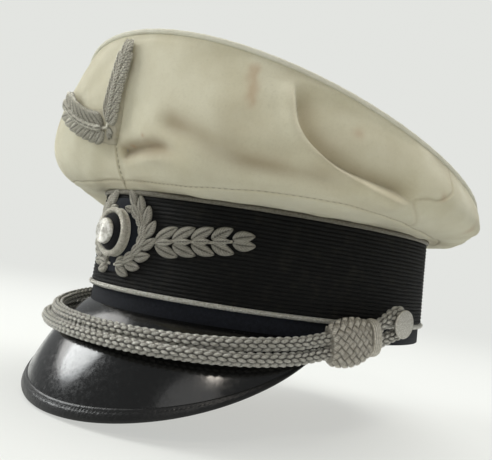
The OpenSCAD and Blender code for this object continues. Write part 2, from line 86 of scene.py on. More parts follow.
def resample(path, step):
    """Points at equal steps along a line of points."""
    path = np.asarray(path, float)
    gap = np.linalg.norm(np.diff(path, axis=0), axis=1)
    s = np.concatenate([[0], np.cumsum(gap)])
    n = max(2, int(round(s[-1] / step)) + 1)
    at = np.linspace(0, s[-1], n)
    return np.stack([np.interp(at, s, path[:, k]) for k in range(3)], -1)


def relaxed(path, rounds):
    """Takes the corners out of a line without moving its ends."""
    path = path.copy()
    for _ in range(rounds):
        path[1:-1] = 0.25 * path[:-2] + 0.5 * path[1:-1] + 0.25 * path[2:]
    return path


def spline(points, count):
    """A smooth line through a few control points, of any number of values each."""
    p = np.asarray(points, float)
    p = np.concatenate([[2 * p[0] - p[1]], p, [2 * p[-1] - p[-2]]])
    at = np.linspace(0, len(p) - 3 - 1e-9, count)
    i = at.astype(int)
    k = (at - i)[:, None]
    a, b, c, d = p[i], p[i + 1], p[i + 2], p[i + 3]
    return 0.5 * (2 * b + (c - a) * k + (2 * a - 5 * b + 4 * c - d) * k ** 2
        + (3 * b - a - 3 * c + d) * k ** 3)


def frames(path, closed=False, first=None):
    """Directions along a line, and two across it that don't twist."""
    if closed:
        t = unit(np.roll(path, -1, 0) - np.roll(path, 1, 0))
    else:
        t = unit(np.gradient(path, axis=0))
    a = np.zeros_like(path)
    a[0] = unit(np.cross(t[0], UP)) if first is None else unit(first - t[0] * np.dot(first, t[0]))
    for i in range(1, len(path)):
        v = a[i - 1] - t[i] * np.dot(a[i - 1], t[i])
        a[i] = v / np.linalg.norm(v)
    return t, a, np.cross(t, a)


def along(path, closed=False):
    p = np.concatenate([path, path[:1]]) if closed else path
    return np.concatenate([[0], np.cumsum(np.linalg.norm(np.diff(p, axis=0), axis=1))])


def normals_of(grid):
    n = np.cross(np.gradient(grid, axis=0), np.gradient(grid, axis=1))
    return unit(n)


# ---- Meshes from grids of points --------------------------------------------------------

class Shape:
    """Gathers grids of points into one mesh, with a UV map in millimetres and any named values."""

    def __init__(self):
        self.v, self.q, self.uv, self.extra, self.count = [], [], [], {}, 0

    def add(self, grid, uv=None, flip=False, **extra):
        n, m = grid.shape[:2]
        i = np.arange(n * m).reshape(n, m) + self.count
        q = np.stack([i[:-1, :-1], i[1:, :-1], i[1:, 1:], i[:-1, 1:]], -1).reshape(-1, 4)
        self.q.append(q[:, ::-1] if flip else q)
        self.v.append(grid.reshape(-1, 3))
        if uv is None:
            u = np.concatenate([[0], np.cumsum(np.linalg.norm(np.diff(grid[:, m // 2], axis=0), axis=1))])
            w = np.concatenate([[0], np.cumsum(np.linalg.norm(np.diff(grid[n // 2], axis=0), axis=1))])
            uv = np.stack(np.meshgrid(u, w, indexing="ij"), -1)
        self.uv.append(uv.reshape(-1, 2))
        for k, value in extra.items():
            self.extra.setdefault(k, []).append((self.count, np.broadcast_to(value, (n, m)).reshape(-1)))
        self.count += n * m
        return self

    def sheet(self, outer, inner, uv=None, rims=True, **extra):
        """A thin body between two grids, closed round its border."""
        self.add(outer, uv, **extra)
        self.add(inner, uv, flip=True)
        if rims:
            for a, b in ((outer[0], inner[0]), (inner[-1], outer[-1]), (inner[:, 0], outer[:, 0]),
                    (outer[:, -1], inner[:, -1])):
                self.add(np.stack([a, b], 1))
        return self

    def tube(self, path, r, sides=16, closed=False, caps=True, shape=None, first=None):
        """A tube; shape(s, angle) gives the radius where s is the length along it."""
        t, a, b = frames(path, closed, first)
        s = along(path, closed)
        if closed:
            twist = self._twist(t, a, b)
            path, a, b = (np.concatenate([x, x[:1]]) for x in (path, a, b))
            turn = np.linspace(0, twist, len(path))
            a, b = a * np.cos(turn)[:, None] + b * np.sin(turn)[:, None], b * np.cos(turn)[:,
                None] - a * np.sin(turn)[:, None]
        f = np.linspace(0, 2 * math.pi, sides + 1)
        rad = shape(s[:, None], f[None]) if shape else np.broadcast_to(np.reshape(r, (-1, 1)),
            (len(path), sides + 1))
        g = path[:, None] + rad[...,
            None] * (a[:, None] * np.cos(f)[None, :, None] + b[:, None] * np.sin(f)[None, :, None])
        uv = np.stack(np.broadcast_arrays(s[:, None], f[None] * float(np.mean(rad))), -1)
        self.add(g, uv, flip=True)
        if caps and not closed:
            for k, back in ((0, False), (-1, True)):
                mid = path[k] + t[k] * (-1 if k == 0 else 1) * 0.25 * np.mean(rad[k])
                rings = np.stack([mid + (g[k] - mid) * w for w in (1, 0.7, 0.3, 0.001)], 1)
                self.add(rings, flip=back)
        return self

    @staticmethod
    def _twist(t, a, b):
        v = a[-1] - t[0] * np.dot(a[-1], t[0])
        return math.atan2(np.dot(v, b[0]), np.dot(v, a[0])) * -1

    def lathe(self, profile, turns=96, at=(0, 0, 0), axis="x", shape=None):
        """Turns [radius, height] points round an axis; shape(angle, r) is added along the axis."""
        p = np.asarray(profile, float)
        f = np.linspace(0, 2 * math.pi, turns + 1)
        r, h = np.broadcast_arrays(p[None, :, 0], p[None, :, 1] + 0 * f[:, None])
        ff = f[:, None] + 0 * r
        if shape is not None:
            h = h + shape(ff, r)
        c, s = r * np.cos(ff), r * np.sin(ff)
        order = {"x": (h, c, s), "y": (c, -h, s)}[axis]
        self.add(np.stack(order, -1) + np.asarray(at, float), np.stack([c, s], -1), flip=axis == "x")
        return self

    def make(self, name, body, stands_for, material, slot=None, weld=True, sharp=50):
        v = np.concatenate(self.v) * MM
        q = np.concatenate(self.q)
        uv = np.concatenate(self.uv)
        mesh = bpy.data.meshes.new(name)
        mesh.vertices.add(len(v))
        mesh.vertices.foreach_set("co", v.astype(np.float32).ravel())
        mesh.loops.add(q.size)
        mesh.loops.foreach_set("vertex_index", q.astype(np.int32).ravel())
        mesh.polygons.add(len(q))
        mesh.polygons.foreach_set("loop_start", np.arange(0, q.size, 4, dtype=np.int32))
        mesh.update(calc_edges=True)
        layer = mesh.uv_layers.new(name="UVMap")
        layer.data.foreach_set("uv", uv[q.ravel()].astype(np.float32).ravel())
        for k, parts in self.extra.items():
            value = np.zeros(len(v), np.float32)
            for start, x in parts:
                value[start:start + len(x)] = x
            mesh.attributes.new(k, "FLOAT", "POINT").data.foreach_set("value", value)
        if weld:
            bm = bmesh.new()
            bm.from_mesh(mesh)
            bmesh.ops.remove_doubles(bm, verts=bm.verts, dist=2e-6)
            bmesh.ops.dissolve_degenerate(bm, edges=bm.edges, dist=1e-7)
            bm.to_mesh(mesh)
            bm.free()
        mesh.polygons.foreach_set("use_smooth", [True] * len(mesh.polygons))
        mesh.set_sharp_from_angle(angle=math.radians(sharp))
        mesh.validate()
        o = bpy.data.objects.new(name, mesh)
        bpy.context.scene.collection.objects.link(o)
        mesh.materials.append(getattr(material, "m", material))
        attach(o, body)
        if stands_for:
            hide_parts(*stands_for)
        return o


# ---- Materials ---------------------------------------------------------------------------

WAVE_PERIOD = 0.31417  # a wave texture of scale 1 repeats after this much of its coordinate


class Mat:
    """A node material with short ways to reach its nodes."""

    def __init__(self, name, colour, rough=0.6, metal=0.0, **sockets):
        self.m = bpy.data.materials.new(name)
        self.m.use_nodes = True
        self.n, self.l = self.m.node_tree.nodes, self.m.node_tree.links
        self.b = self.n["Principled BSDF"]
        self.set(self.b, "Base Color", (*colour, 1))
        self.set(self.b, "Roughness", rough)
        self.set(self.b, "Metallic", metal)
        for k, v in sockets.items():
            self.set(self.b, k.replace("_", " "), v)
        self.colour = colour
        self.last_normal = None

    @staticmethod
    def set(node, key, value):
        node.inputs[key].default_value = value

    def node(self, kind, **props):
        n = self.n.new(kind)
        for k, v in props.items():
            if k in n.bl_rna.properties.keys():
                setattr(n, k, v)
            else:
                self.set(n, k.replace("_", " "), v)
        return n

    def coords(self, kind="Object", scale=(1, 1, 1), turn=0.0):
        c = self.node("ShaderNodeTexCoord")
        m = self.node("ShaderNodeMapping")
        m.inputs["Scale"].default_value = scale
        m.inputs["Rotation"].default_value = (0, 0, math.radians(turn))
        self.l.new(c.outputs[kind], m.inputs["Vector"])
        return m.outputs["Vector"]

    def noise(self, scale, detail=4, rough=0.6, vector=None, distort=0.0):
        n = self.node("ShaderNodeTexNoise", Scale=scale, Detail=detail, Roughness=rough, Distortion=distort)
        self.l.new(vector or self.coords(), n.inputs["Vector"])
        return n.outputs["Fac"]

    def voronoi(self, scale, vector=None):
        n = self.node("ShaderNodeTexVoronoi", Scale=scale)
        self.l.new(vector or self.coords(), n.inputs["Vector"])
        return n.outputs["Distance"]

    def wave(self, pitch, direction="X", vector=None, distort=0.0, detail=1.0):
        """Bands a pitch in millimetres apart, across a direction of the UV map."""
        n = self.node("ShaderNodeTexWave", Scale=WAVE_PERIOD / pitch, Distortion=distort, Detail=detail)
        n.bands_direction = direction
        self.l.new(vector or self.coords("UV"), n.inputs["Vector"])
        return n.outputs["Fac"]

    def value(self, name):
        n = self.node("ShaderNodeAttribute")
        n.attribute_name = name
        return n.outputs["Fac"]

    def ramp(self, source, stops):
        n = self.node("ShaderNodeValToRGB")
        e = n.color_ramp.elements
        e[0].position, e[1].position = stops[0][0], stops[-1][0]
        for s in stops[1:-1]:
            e.new(s[0])
        for x, s in zip(e, stops):
            c = s[1]
            x.color = (*c, 1) if isinstance(c, tuple) else (c, c, c, 1)
        self.l.new(source, n.inputs["Fac"])
        return n.outputs["Color"]

    def blend(self, fac, a, b, how="MIX"):
        n = self.node("ShaderNodeMix", data_type="RGBA", blend_type=how)
        for k, x in ((0, fac), (6, a), (7, b)):
            if isinstance(x, (int, float)):
                n.inputs[k].default_value = x
            elif isinstance(x, tuple):
                n.inputs[k].default_value = (*x, 1)
            else:
                self.l.new(x, n.inputs[k])
        return n.outputs[2]

    def base(self, source):
        self.l.new(source, self.b.inputs["Base Color"])
        return self

    def rough(self, source, low, high):
        n = self.node("ShaderNodeMapRange")
        n.inputs["To Min"].default_value, n.inputs["To Max"].default_value = low, high
        self.l.new(source, n.inputs["Value"])
        self.l.new(n.outputs[0], self.b.inputs["Roughness"])
        return self

    def relief(self, source, depth_mm, strength=1.0):
        n = self.node("ShaderNodeBump", Strength=strength, Distance=depth_mm * MM)
        self.l.new(source, n.inputs["Height"])
        if self.last_normal:
            self.l.new(self.last_normal, n.inputs["Normal"])
        self.last_normal = n.outputs["Normal"]
        self.l.new(self.last_normal, self.b.inputs["Normal"])
        return self

    def mottle(self, dark, scale=220, detail=5, low=0.35, high=0.68, vector=None):
        """Uneven colour between a darker shade and the material's own."""
        return self.ramp(self.noise(scale, detail, vector=vector), [(low, dark), (high, self.colour)])


def cotton(name, colour, dark, ribs=0.62, sheen=0.25):
    """Rep cotton with fine slanted ribs and painted shade in their grooves, with soft soiling, painted shade
    and rust marks where the cloth says.
    """
    m = Mat(name, colour, rough=0.86, Sheen_Weight=sheen, Sheen_Roughness=0.5, Specular_IOR_Level=0.25)
    vec = m.coords("UV", turn=9)
    rib = m.wave(0.25, "X", vec, 1.6, 2)
    cross = m.wave(0.11, "Y", vec, 0.8)
    c = m.ramp(m.noise(38, 6, 0.62), [(0.34, dark), (0.62, colour)])
    # painted shade: the rib grooves are darkened
    c = m.blend(m.ramp(rib, [(0.0, 0.24), (0.5, 0.0)]), c, tuple(x * 0.62 for x in dark))
    c = m.blend(m.ramp(m.noise(950, 3), [(0.5, 0.0), (0.75, 0.22)]), c, tuple(x * 0.72 for x in dark))
    # soiling, with painted shade in the dents and beside the long fold, from the cloth's value of soiling and
    # painted shade
    c = m.blend(m.value("soil"), c, (0.30, 0.225, 0.125))
    c = m.blend(m.value("rust"), c, (0.40, 0.21, 0.09))
    m.base(c)
    m.rough(m.noise(400), 0.78, 0.95)
    m.relief(rib, 0.10 * ribs).relief(cross, 0.045 * ribs).relief(m.noise(2600, 2), 0.03)
    return m


def metal_thread(name, colour, dark, pitch, rough=0.34, relief=0.12, turn=0):
    """Fine metal wire laid side by side, with painted shade in the grooves between wires and in the gaps that
    the deep value marks.
    """
    m = Mat(name, colour, rough=rough, metal=0.5, Specular_IOR_Level=0.8)
    line = m.wave(pitch, "X", m.coords("UV", turn=turn), 0.6, 1)
    c = m.ramp(m.noise(900, 5), [(0.33, dark), (0.6, colour)])
    # painted shade in the grooves between the wires
    c = m.blend(m.ramp(line, [(0.0, 0.7), (0.42, 0.0)]), c, tuple(x * 0.3 for x in dark))
    # painted shade, nearly black, in the gaps and hollows that the deep value marks
    c = m.blend(m.ramp(m.value("deep"), [(0.0, 0.0), (1.0, 0.9)]), c, tuple(x * 0.16 for x in dark))
    m.base(c)
    m.rough(m.noise(1500), rough - 0.08, rough + 0.2)
    return m.relief(line, relief).relief(m.noise(3000, 2), 0.02)


WHITE = cotton("white_cover_cotton", (0.71, 0.675, 0.51), (0.63, 0.585, 0.415))
# A lighter copy of the cover cotton, painted light for the top and the rim cord, where light falls from above
WHITE_TOP_PAINTED_LIGHTER = cotton("white_cover_top_painted_lighter", (0.76, 0.74, 0.62), (0.69, 0.665, 0.53))
WHITE_IN = cotton("white_cover_inside", (0.70, 0.66, 0.54), (0.58, 0.53, 0.40), 0.5)

THREAD = Mat("cotton_thread", (0.50, 0.46, 0.35), rough=0.8)
THREAD.base(THREAD.mottle((0.34, 0.30, 0.21), 1500)).relief(
    THREAD.wave(0.07, "X", THREAD.coords("UV", turn=35)), 0.06)

WOOL = Mat("navy_wool", (0.011, 0.013, 0.019), rough=0.92, Sheen_Weight=0.06, Sheen_Roughness=0.6,
    Specular_IOR_Level=0.15)
WOOL.base(WOOL.mottle((0.006, 0.007, 0.010), 700)).relief(WOOL.noise(2200, 4, 0.7),
    0.16).relief(WOOL.voronoi(1300), 0.08)

MOHAIR = Mat("black_mohair_braid", (0.007, 0.007, 0.0065), rough=0.7, Sheen_Weight=0.02,
    Sheen_Roughness=0.4, Specular_IOR_Level=0.18)
MOHAIR.base(MOHAIR.blend(MOHAIR.ramp(MOHAIR.noise(150, 5), [(0.52, 0.0), (0.72, 0.55)]),
    MOHAIR.mottle((0.004, 0.004, 0.004), 900), (0.026, 0.024, 0.018)))
MOHAIR.relief(MOHAIR.wave(0.084, "X", MOHAIR.coords("UV", turn=12), 1.2),
    0.08).relief(MOHAIR.noise(2600, 3), 0.05)

STIFF = Mat("stiffener_card", (0.34, 0.26, 0.15), rough=0.85)
STIFF.base(STIFF.mottle((0.24, 0.17, 0.09), 300)).relief(STIFF.noise(1500, 4), 0.12)

BASE_ROPE = metal_thread("silver_piping", (0.92, 0.91, 0.85), (0.60, 0.57, 0.48), 0.09, 0.30, 0.10, 30)
TOP_BRAID = metal_thread("grey_silver_piping", (0.36, 0.34, 0.28), (0.20, 0.18, 0.14), 0.1, 0.45, 0.12, 25)
CORD = metal_thread("silver_cord", (0.93, 0.91, 0.84), (0.62, 0.59, 0.51), 0.1, 0.27, 0.10, 0)
KNOT = metal_thread("silver_knot_wire", (0.90, 0.86, 0.77), (0.60, 0.55, 0.45), 0.06, 0.34, 0.03, 70)
BULLION = metal_thread("silver_bullion", (0.95, 0.92, 0.79), (0.62, 0.58, 0.46), 0.12, 0.30, 0.10, 62)
BULLION_PALE = metal_thread("silver_bullion_bright", (0.96, 0.93, 0.83), (0.64, 0.60, 0.49), 0.12, 0.30,
    0.10, 62)

FELT = Mat("black_felt", (0.009, 0.009, 0.011), rough=0.95, Sheen_Weight=0.05, Sheen_Roughness=0.5,
    Specular_IOR_Level=0.2)
FELT.base(FELT.mottle((0.006, 0.006, 0.007), 800)).relief(FELT.noise(2000, 5, 0.75),
    0.2).relief(FELT.voronoi(1700), 0.08)
BADGE_DARK = Mat("dark_badge_cloth", (0.008, 0.010, 0.015), rough=0.93, Sheen_Weight=0.05,
    Sheen_Roughness=0.5, Specular_IOR_Level=0.2)
BADGE_DARK.base(BADGE_DARK.mottle((0.007, 0.009, 0.014), 800)).relief(BADGE_DARK.noise(2100, 5, 0.7), 0.2)
BADGE_PALE = cotton("pale_badge_cloth", (0.56, 0.52, 0.39), (0.46, 0.42, 0.29), 0.9, 0.3)

BOSS = Mat("silver_boss", (0.74, 0.73, 0.69), rough=0.4, metal=0.7)
BOSS.base(BOSS.ramp(BOSS.noise(700, 5), [(0.3, (0.36, 0.34, 0.29)), (0.6, (0.74, 0.73, 0.69))]))
BOSS.rough(BOSS.noise(900), 0.34, 0.6).relief(BOSS.voronoi(1100), 0.10).relief(BOSS.noise(1100, 4), 0.08)
BUTTON = Mat("pebbled_button", (0.72, 0.71, 0.66), rough=0.5, metal=0.6)
BUTTON.base(BUTTON.ramp(BUTTON.voronoi(1900), [(0.05, (0.80, 0.79, 0.75)), (0.6, (0.44, 0.42, 0.37))]))
BUTTON.rough(BUTTON.noise(800), 0.4, 0.66).relief(BUTTON.voronoi(1900), 0.16)
BRASS = Mat("brass_plate", (0.62, 0.43, 0.16), rough=0.4, metal=1.0)
BRASS.base(BRASS.ramp(BRASS.noise(500, 5), [(0.35, (0.28, 0.18, 0.07)), (0.62, (0.62, 0.43, 0.16))])).rough(
    BRASS.noise(900), 0.3, 0.6).relief(BRASS.noise(1500), 0.03)
STEEL = Mat("spring_steel", (0.46, 0.46, 0.47), rough=0.34, metal=1.0)
STEEL.base(STEEL.ramp(STEEL.noise(300, 6), [(0.34, (0.20, 0.17, 0.14)), (0.58, (0.46, 0.46, 0.47))])).rough(
    STEEL.noise(700), 0.25, 0.6).relief(STEEL.noise(1600), 0.03)

LACQUER = Mat("black_lacquer", (0.004, 0.004, 0.004), rough=0.16, Coat_Weight=0.25, Coat_Roughness=0.1,
    Specular_IOR_Level=0.42)
LACQUER.base(LACQUER.mottle((0.003, 0.003, 0.003), 60))
LACQUER.rough(LACQUER.ramp(LACQUER.noise(420, 6, 0.7), [(0.42, 0.0), (0.8, 1.0)]), 0.14, 0.36)
LACQUER.relief(LACQUER.noise(110, 3), 0.18, 0.6).relief(LACQUER.noise(1500, 2), 0.012)
RIM_LEATHER = Mat("visor_rim_leather", (0.006, 0.006, 0.006), rough=0.34, Coat_Weight=0.1,
    Coat_Roughness=0.2, Specular_IOR_Level=0.3)
RIM_LEATHER.base(RIM_LEATHER.mottle((0.004, 0.004, 0.004), 500)).rough(RIM_LEATHER.noise(700), 0.25,
    0.5).relief(RIM_LEATHER.voronoi(1500), 0.06)
UNDER = Mat("visor_underside", (0.020, 0.030, 0.031), rough=0.55, Specular_IOR_Level=0.4)
UNDER.base(UNDER.mottle((0.010, 0.015, 0.016), 250)).relief(
    UNDER.wave(0.18, "X", UNDER.coords("UV", turn=45)),
    0.06).relief(UNDER.wave(0.18, "Y", UNDER.coords("UV", turn=45)), 0.06)

LEATHER = Mat("tan_sweatband_leather", (0.30, 0.145, 0.062), rough=0.5, Specular_IOR_Level=0.4)
LEATHER.base(LEATHER.blend(LEATHER.ramp(LEATHER.noise(60, 6), [(0.45, 0.0), (0.7, 0.75)]),
    LEATHER.mottle((0.21, 0.095, 0.04), 400), (0.10, 0.045, 0.02)))
LEATHER.rough(LEATHER.noise(300), 0.36, 0.66).relief(LEATHER.voronoi(1100),
    0.07).relief(LEATHER.noise(500, 6), 0.1)
SILK = Mat("lining_silk", (0.50, 0.40, 0.22), rough=0.42, Sheen_Weight=0.4, Sheen_Roughness=0.35,
    Anisotropic=0.4, Specular_IOR_Level=0.5)
SILK.base(SILK.blend(SILK.ramp(SILK.noise(45, 6), [(0.42, 0.0), (0.72, 0.7)]),
    SILK.mottle((0.38, 0.29, 0.15), 500), (0.25, 0.18, 0.09))).relief(SILK.wave(0.1, "X", None, 0.6),
    0.05).relief(SILK.noise(1800), 0.03)
CLEAR = Mat("clear_shield", (0.86, 0.80, 0.60), rough=0.16, Transmission_Weight=0.75, IOR=1.46, Alpha=0.55)
CLEAR.base(CLEAR.mottle((0.72, 0.62, 0.38), 50)).rough(CLEAR.noise(200), 0.1,
    0.32).relief(CLEAR.noise(90, 3), 0.35)
TAPE = Mat("black_tape", (0.020, 0.020, 0.021), rough=0.8, Sheen_Weight=0.3)
TAPE.base(TAPE.mottle((0.009, 0.009, 0.010), 700)).relief(TAPE.wave(0.12, "X"),
    0.12).relief(TAPE.wave(0.12, "Y"), 0.12)
BOW = Mat("brown_ribbon", (0.105, 0.045, 0.020), rough=0.5, Sheen_Weight=0.3)
BOW.base(BOW.mottle((0.06, 0.025, 0.011), 600)).relief(BOW.wave(0.07, "Y"), 0.1)
WAD = Mat("wadding", (0.62, 0.57, 0.44), rough=0.98, Sheen_Weight=0.6, Sheen_Roughness=0.7)
WAD.base(WAD.mottle((0.47, 0.42, 0.30), 200)).relief(WAD.noise(900, 6, 0.75), 0.5)
PALE, PALE_STRENGTH = (0.985, 1.0, 0.965, 1), 0.78  # the backdrop, as the camera sees it


def join(tree, *pairs):
    """Joins nodes of a tree: each pair is an output, then an input."""
    for source, target in pairs:
        tree.links.new(source, target)


def pale_floor():
    """A floor that fades into the backdrop away from the cap, and is clear from below."""
    m = Mat("pale_floor", (0.30, 0.305, 0.295), rough=0.9, Specular_IOR_Level=0.1,
            Emission_Strength=0.52, Emission_Color=PALE)
    m.relief(m.noise(300, 3), 0.05)
    glow = m.node("ShaderNodeEmission", Color=PALE, Strength=PALE_STRENGTH)
    place, reach = m.node("ShaderNodeNewGeometry"), m.node("ShaderNodeVectorMath", operation="LENGTH")
    fade = m.node("ShaderNodeMapRange", interpolation_type="SMOOTHSTEP")
    fade.inputs["From Min"].default_value, fade.inputs["From Max"].default_value = 0.25, 1.3
    away, below = m.node("ShaderNodeMixShader"), m.node("ShaderNodeMixShader")
    clear = m.node("ShaderNodeBsdfTransparent")
    end = next(k for k in m.n if k.type == "OUTPUT_MATERIAL")
    join(m.m.node_tree, (place.outputs["Position"], reach.inputs[0]),
         (reach.outputs["Value"], fade.inputs["Value"]),
         (fade.outputs["Result"], away.inputs["Fac"]), (m.b.outputs["BSDF"], away.inputs[1]),
         (glow.outputs[0], away.inputs[2]), (place.outputs["Backfacing"], below.inputs["Fac"]),
         (away.outputs[0], below.inputs[1]), (clear.outputs[0], below.inputs[2]),
         (below.outputs[0], end.inputs["Surface"]))
    return m


FLOOR = pale_floor()


# ---- Band --------------------------------------------------------------------------------

BAND_A, BAND_B, BAND_H, TAPER = 86.0, 104.0, 57.0, 3.0
PIPING_R = 1.25
MOHAIR_OUT, MOHAIR_IN, STRIP_IN, STIFF_IN = 0.2, -1.0, -1.8, -2.6  # offsets from the band's oval
SWEAT_OUT, SWEAT_IN, SWEAT_H = -3.6, -4.6, 43.0
BASE_PIPING_Z = 9.25
MOHAIR_Z = BASE_PIPING_Z + PIPING_R + 0.1
MOHAIR_TOP = BAND_H - PIPING_R - 0.1
PANEL_Z = BAND_H + PIPING_R + 0.2


def band_pt(t, o, z):
    r = np.radians(t)
    k = z / BAND_H * TAPER
    a, b = BAND_A - k, BAND_B - k * 0.7
    n = unit(np.stack(np.broadcast_arrays(np.sin(r) / a, -np.cos(r) / b), -1))
    x = a * np.sin(r) + n[..., 0] * o
    y = -b * np.cos(r) - k / 3 + n[..., 1] * o
    return np.stack(np.broadcast_arrays(x, y, z + 0 * x), -1)


def ring(shape, profile, steps=360, flip=False):
    """Sweeps a closed profile of [offset, height] points round the band."""
    p = np.asarray(profile, float)
    t = np.linspace(-180, 180, steps + 1)[:, None]
    g = band_pt(t, p[None, :, 0], p[None, :, 1])
    u = np.radians(t) * RING_UV + 0 * p[None, :, 0]
    w = np.concatenate([[0], np.cumsum(np.linalg.norm(np.diff(p, axis=0), axis=1))])[None] + 0 * u
    shape.add(g, np.stack([u, w], -1), flip=flip)
    return shape


def rounded(o0, o1, z0, z1, r=0.25, fine=2.0):
    """A closed box profile with eased corners, running up the outer face and back down the inner one."""
    out = []
    z = np.linspace(z0 + r, z1 - r, max(2, int((z1 - z0) / fine)))
    out += [(o1, k) for k in z]
    out += [(o1 - r * (1 - math.cos(a)), z1 - r + r * math.sin(a)) for a in (0.5, 1.1)]
    out += [(o0 + r * (1 - math.cos(a)), z1 - r + r * math.sin(a)) for a in (1.1, 0.5)]
    out += [(o0, k) for k in z[::-1]]
    out += [(o0 + r * (1 - math.cos(a)), z0 + r - r * math.sin(a)) for a in (0.5, 1.1)]
    out += [(o1 - r * (1 - math.cos(a)), z0 + r - r * math.sin(a)) for a in (1.1, 0.5)]
    return out + [out[0]]


def stitch_row(shape, path, normal, stitch=2.6, gap=0.9, r=0.26, lift=0.1):
    """Little thread stitches that lie on a surface along a line."""
    s = along(path)
    at = 0.0
    while at + stitch < s[-1]:
        k = np.linspace(at, at + stitch, 5)
        p = np.stack([np.interp(k, s, path[:, c]) for c in range(3)], -1)
        n = unit(np.stack([np.interp(k, s, normal[:, c]) for c in range(3)], -1))
        rise = np.array([-0.35, 0.1, 0.22, 0.1, -0.35])[:, None]
        shape.tube(p + n * (lift + rise), r, 6)
        at += stitch + gap
    return shape


base = Shape()
ring(base, rounded(STRIP_IN, MOHAIR_IN - 0.06, -0.5, BAND_H - 1, 0.2))
base.make("base_strip_wool", "cap", ["base_strip"], WOOL, "navy_wool")

RIBS = 23
zz = np.linspace(MOHAIR_Z, MOHAIR_TOP, RIBS * 8 + 1)
k = (zz - MOHAIR_Z) / (MOHAIR_TOP - MOHAIR_Z) * RIBS
ribbed = [(MOHAIR_OUT - 0.55 + 0.62 * abs(math.sin(math.pi * q)) ** 0.55, z) for q, z in zip(k, zz)]
prof = ribbed + [(MOHAIR_IN, MOHAIR_TOP - 0.1), (MOHAIR_IN, MOHAIR_Z + 0.1), ribbed[0]]
mohair = Shape()
t = np.linspace(-180, 180, 541)[:, None]
p = np.asarray(prof)
g = band_pt(t, p[None, :, 0] + 0.05 * wave_noise(t * 1.6, p[None, :, 1] * 4, 3, 14),
    p[None, :, 1] + 0.10 * wave_noise(t * 1.6, p[None, :, 1], 5, 30))
u = np.radians(t) * RING_UV + 0 * p[None, :, 0]
mohair.add(g, np.stack([u, p[None, :, 1] + 0 * u], -1))
mohair.make("mohair_band_ribbed", "cap", ["mohair_band"], MOHAIR, "black_mohair", sharp=80)


def rope(lobes, pitch, r, depth):
    """The radius of a twisted rope with a few strands."""
    return lambda s, f: r - depth + depth * np.abs(np.sin(lobes / 2 * (f + 2 * math.pi * s / pitch))) ** 0.7


loop_t = np.linspace(-180, 180, 1400, endpoint=False)
path = band_pt(loop_t, MOHAIR_IN + PIPING_R + 0.05, BASE_PIPING_Z)
Shape().tube(path, 1, 20, True, shape=rope(2, 3.4, 1.3, 0.42)).make("base_piping_rope", "cap",
    ["band_base_piping"], BASE_ROPE, "silver_piping")
path = band_pt(loop_t, MOHAIR_IN + PIPING_R + 0.05, BAND_H)
Shape().tube(path, 1, 20, True, shape=rope(4, 4.2, 1.28, 0.16)).make("top_piping_braid", "cap",
    ["band_top_piping"], TOP_BRAID, "silver_piping")

# Leather sweatband: it leans a little and its free top edge waves
sweat = Shape()
prof = np.asarray(rounded(SWEAT_IN, SWEAT_OUT, 0, SWEAT_H, 0.45, 1.4))
t = np.linspace(-180, 180, 481)[:, None]
h = prof[None, :, 1] / SWEAT_H
lean = -0.35 * h ** 2 * (1 + wave_noise(t * 1.7, h * 8, 11, 60)) * 0.8
dimple = -0.16 * bump(prof[None, :, 1] - 5.2, 0.7)
g = band_pt(t, prof[None, :, 0] + lean - 0.1 + dimple * np.sign(prof[None, :, 0] - SWEAT_OUT + 0.5),
    prof[None, :, 1] + 0.4 * h * wave_noise(t * 1.7, h, 12, 50) - 0.4 * h)
w = along(np.stack([prof[:, 0], prof[:, 1], 0 * h[0]], -1))
sweat.add(g, np.stack(np.broadcast_arrays(np.radians(t) * RING_UV, w[None]), -1))
sweat.make("sweatband_leather", "cap", ["sweatband"], LEATHER, "tan_leather")
tape = Shape()
ring(tape, rounded(SWEAT_OUT + 0.05, STIFF_IN - 0.05, 0, 5, 0.3, 0.8))
tape.make("sweatband_tape_woven", "cap", ["sweatband_tape"], TAPE, "black_tape")
sew = Shape()
t = np.linspace(-178, 178, 900)
q = band_pt(t, SWEAT_IN - 0.05, 5.2)
stitch_row(sew, q, unit(np.stack([-q[:, 0], -q[:, 1], 0 * q[:, 0]], -1)), 2.8, 0.9, 0.24, 0.05)
sew.make("sweatband_stitching", "cap", None, THREAD, "tan_leather", weld=False)

# A small ribbon bow at the back of the sweatband
lo, hi = (np.array(c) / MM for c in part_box("sweatband_bow"))
mid = (lo + hi) / 2
bow = Shape()
for side in (-1, 1):
    a = np.linspace(0, 1, 28)
    loop = np.stack([side * (0.8 + 7.0 * np.sin(math.pi * a) ** 0.8),
        -0.35 - 0.75 * np.sin(2 * math.pi * a), 0.2 + 1.3 * np.sin(2 * math.pi * a)], -1) + mid
    wide = 0.5 + 1.9 * np.sin(math.pi * a) ** 0.7
    b = np.linspace(-1, 1, 9)
    out = loop[:, None] + np.array([0, 0.05, 1.0]) * (b[None] * wide[:, None])[..., None]
    bow.sheet(out, out + np.array([0, 0.22, 0]))
    tail = np.stack([side * (0.6 + 6.2 * a), -0.1 - 0.3 * np.sin(3 * a), -0.6 - 2.3 * a], -1) + mid
    out = tail[:, None] + np.array([0, 0, 1.0]) * (b[None] * (0.7 + 0.5 * a[:, None]))[..., None]
    bow.sheet(out, out + np.array([0, 0.22, 0]))
bow.lathe([(0.01, -1.2), (0.9, -1.1), (1.5, -0.5), (1.6, 0.1), (1.3, 0.6), (0.01, 0.7)], 28, mid, "y")
bow.make("sweatband_bow_ribbon", "cap", ["sweatband_bow"], BOW, "black_tape")


# ---- Crown -------------------------------------------------------------------------------

RIM_A, RIM_B, RIM_FWD, RIM_TOP, RIM_BACK = 116.0, 111.5, 5.5, 133.0, 67.0
LOW_REACH, LOW_RISE, HIGH_REACH, HIGH_DROP = (12, 57, 22), (18, -3, -5), (9, 11, 6), (32, 18, 10)


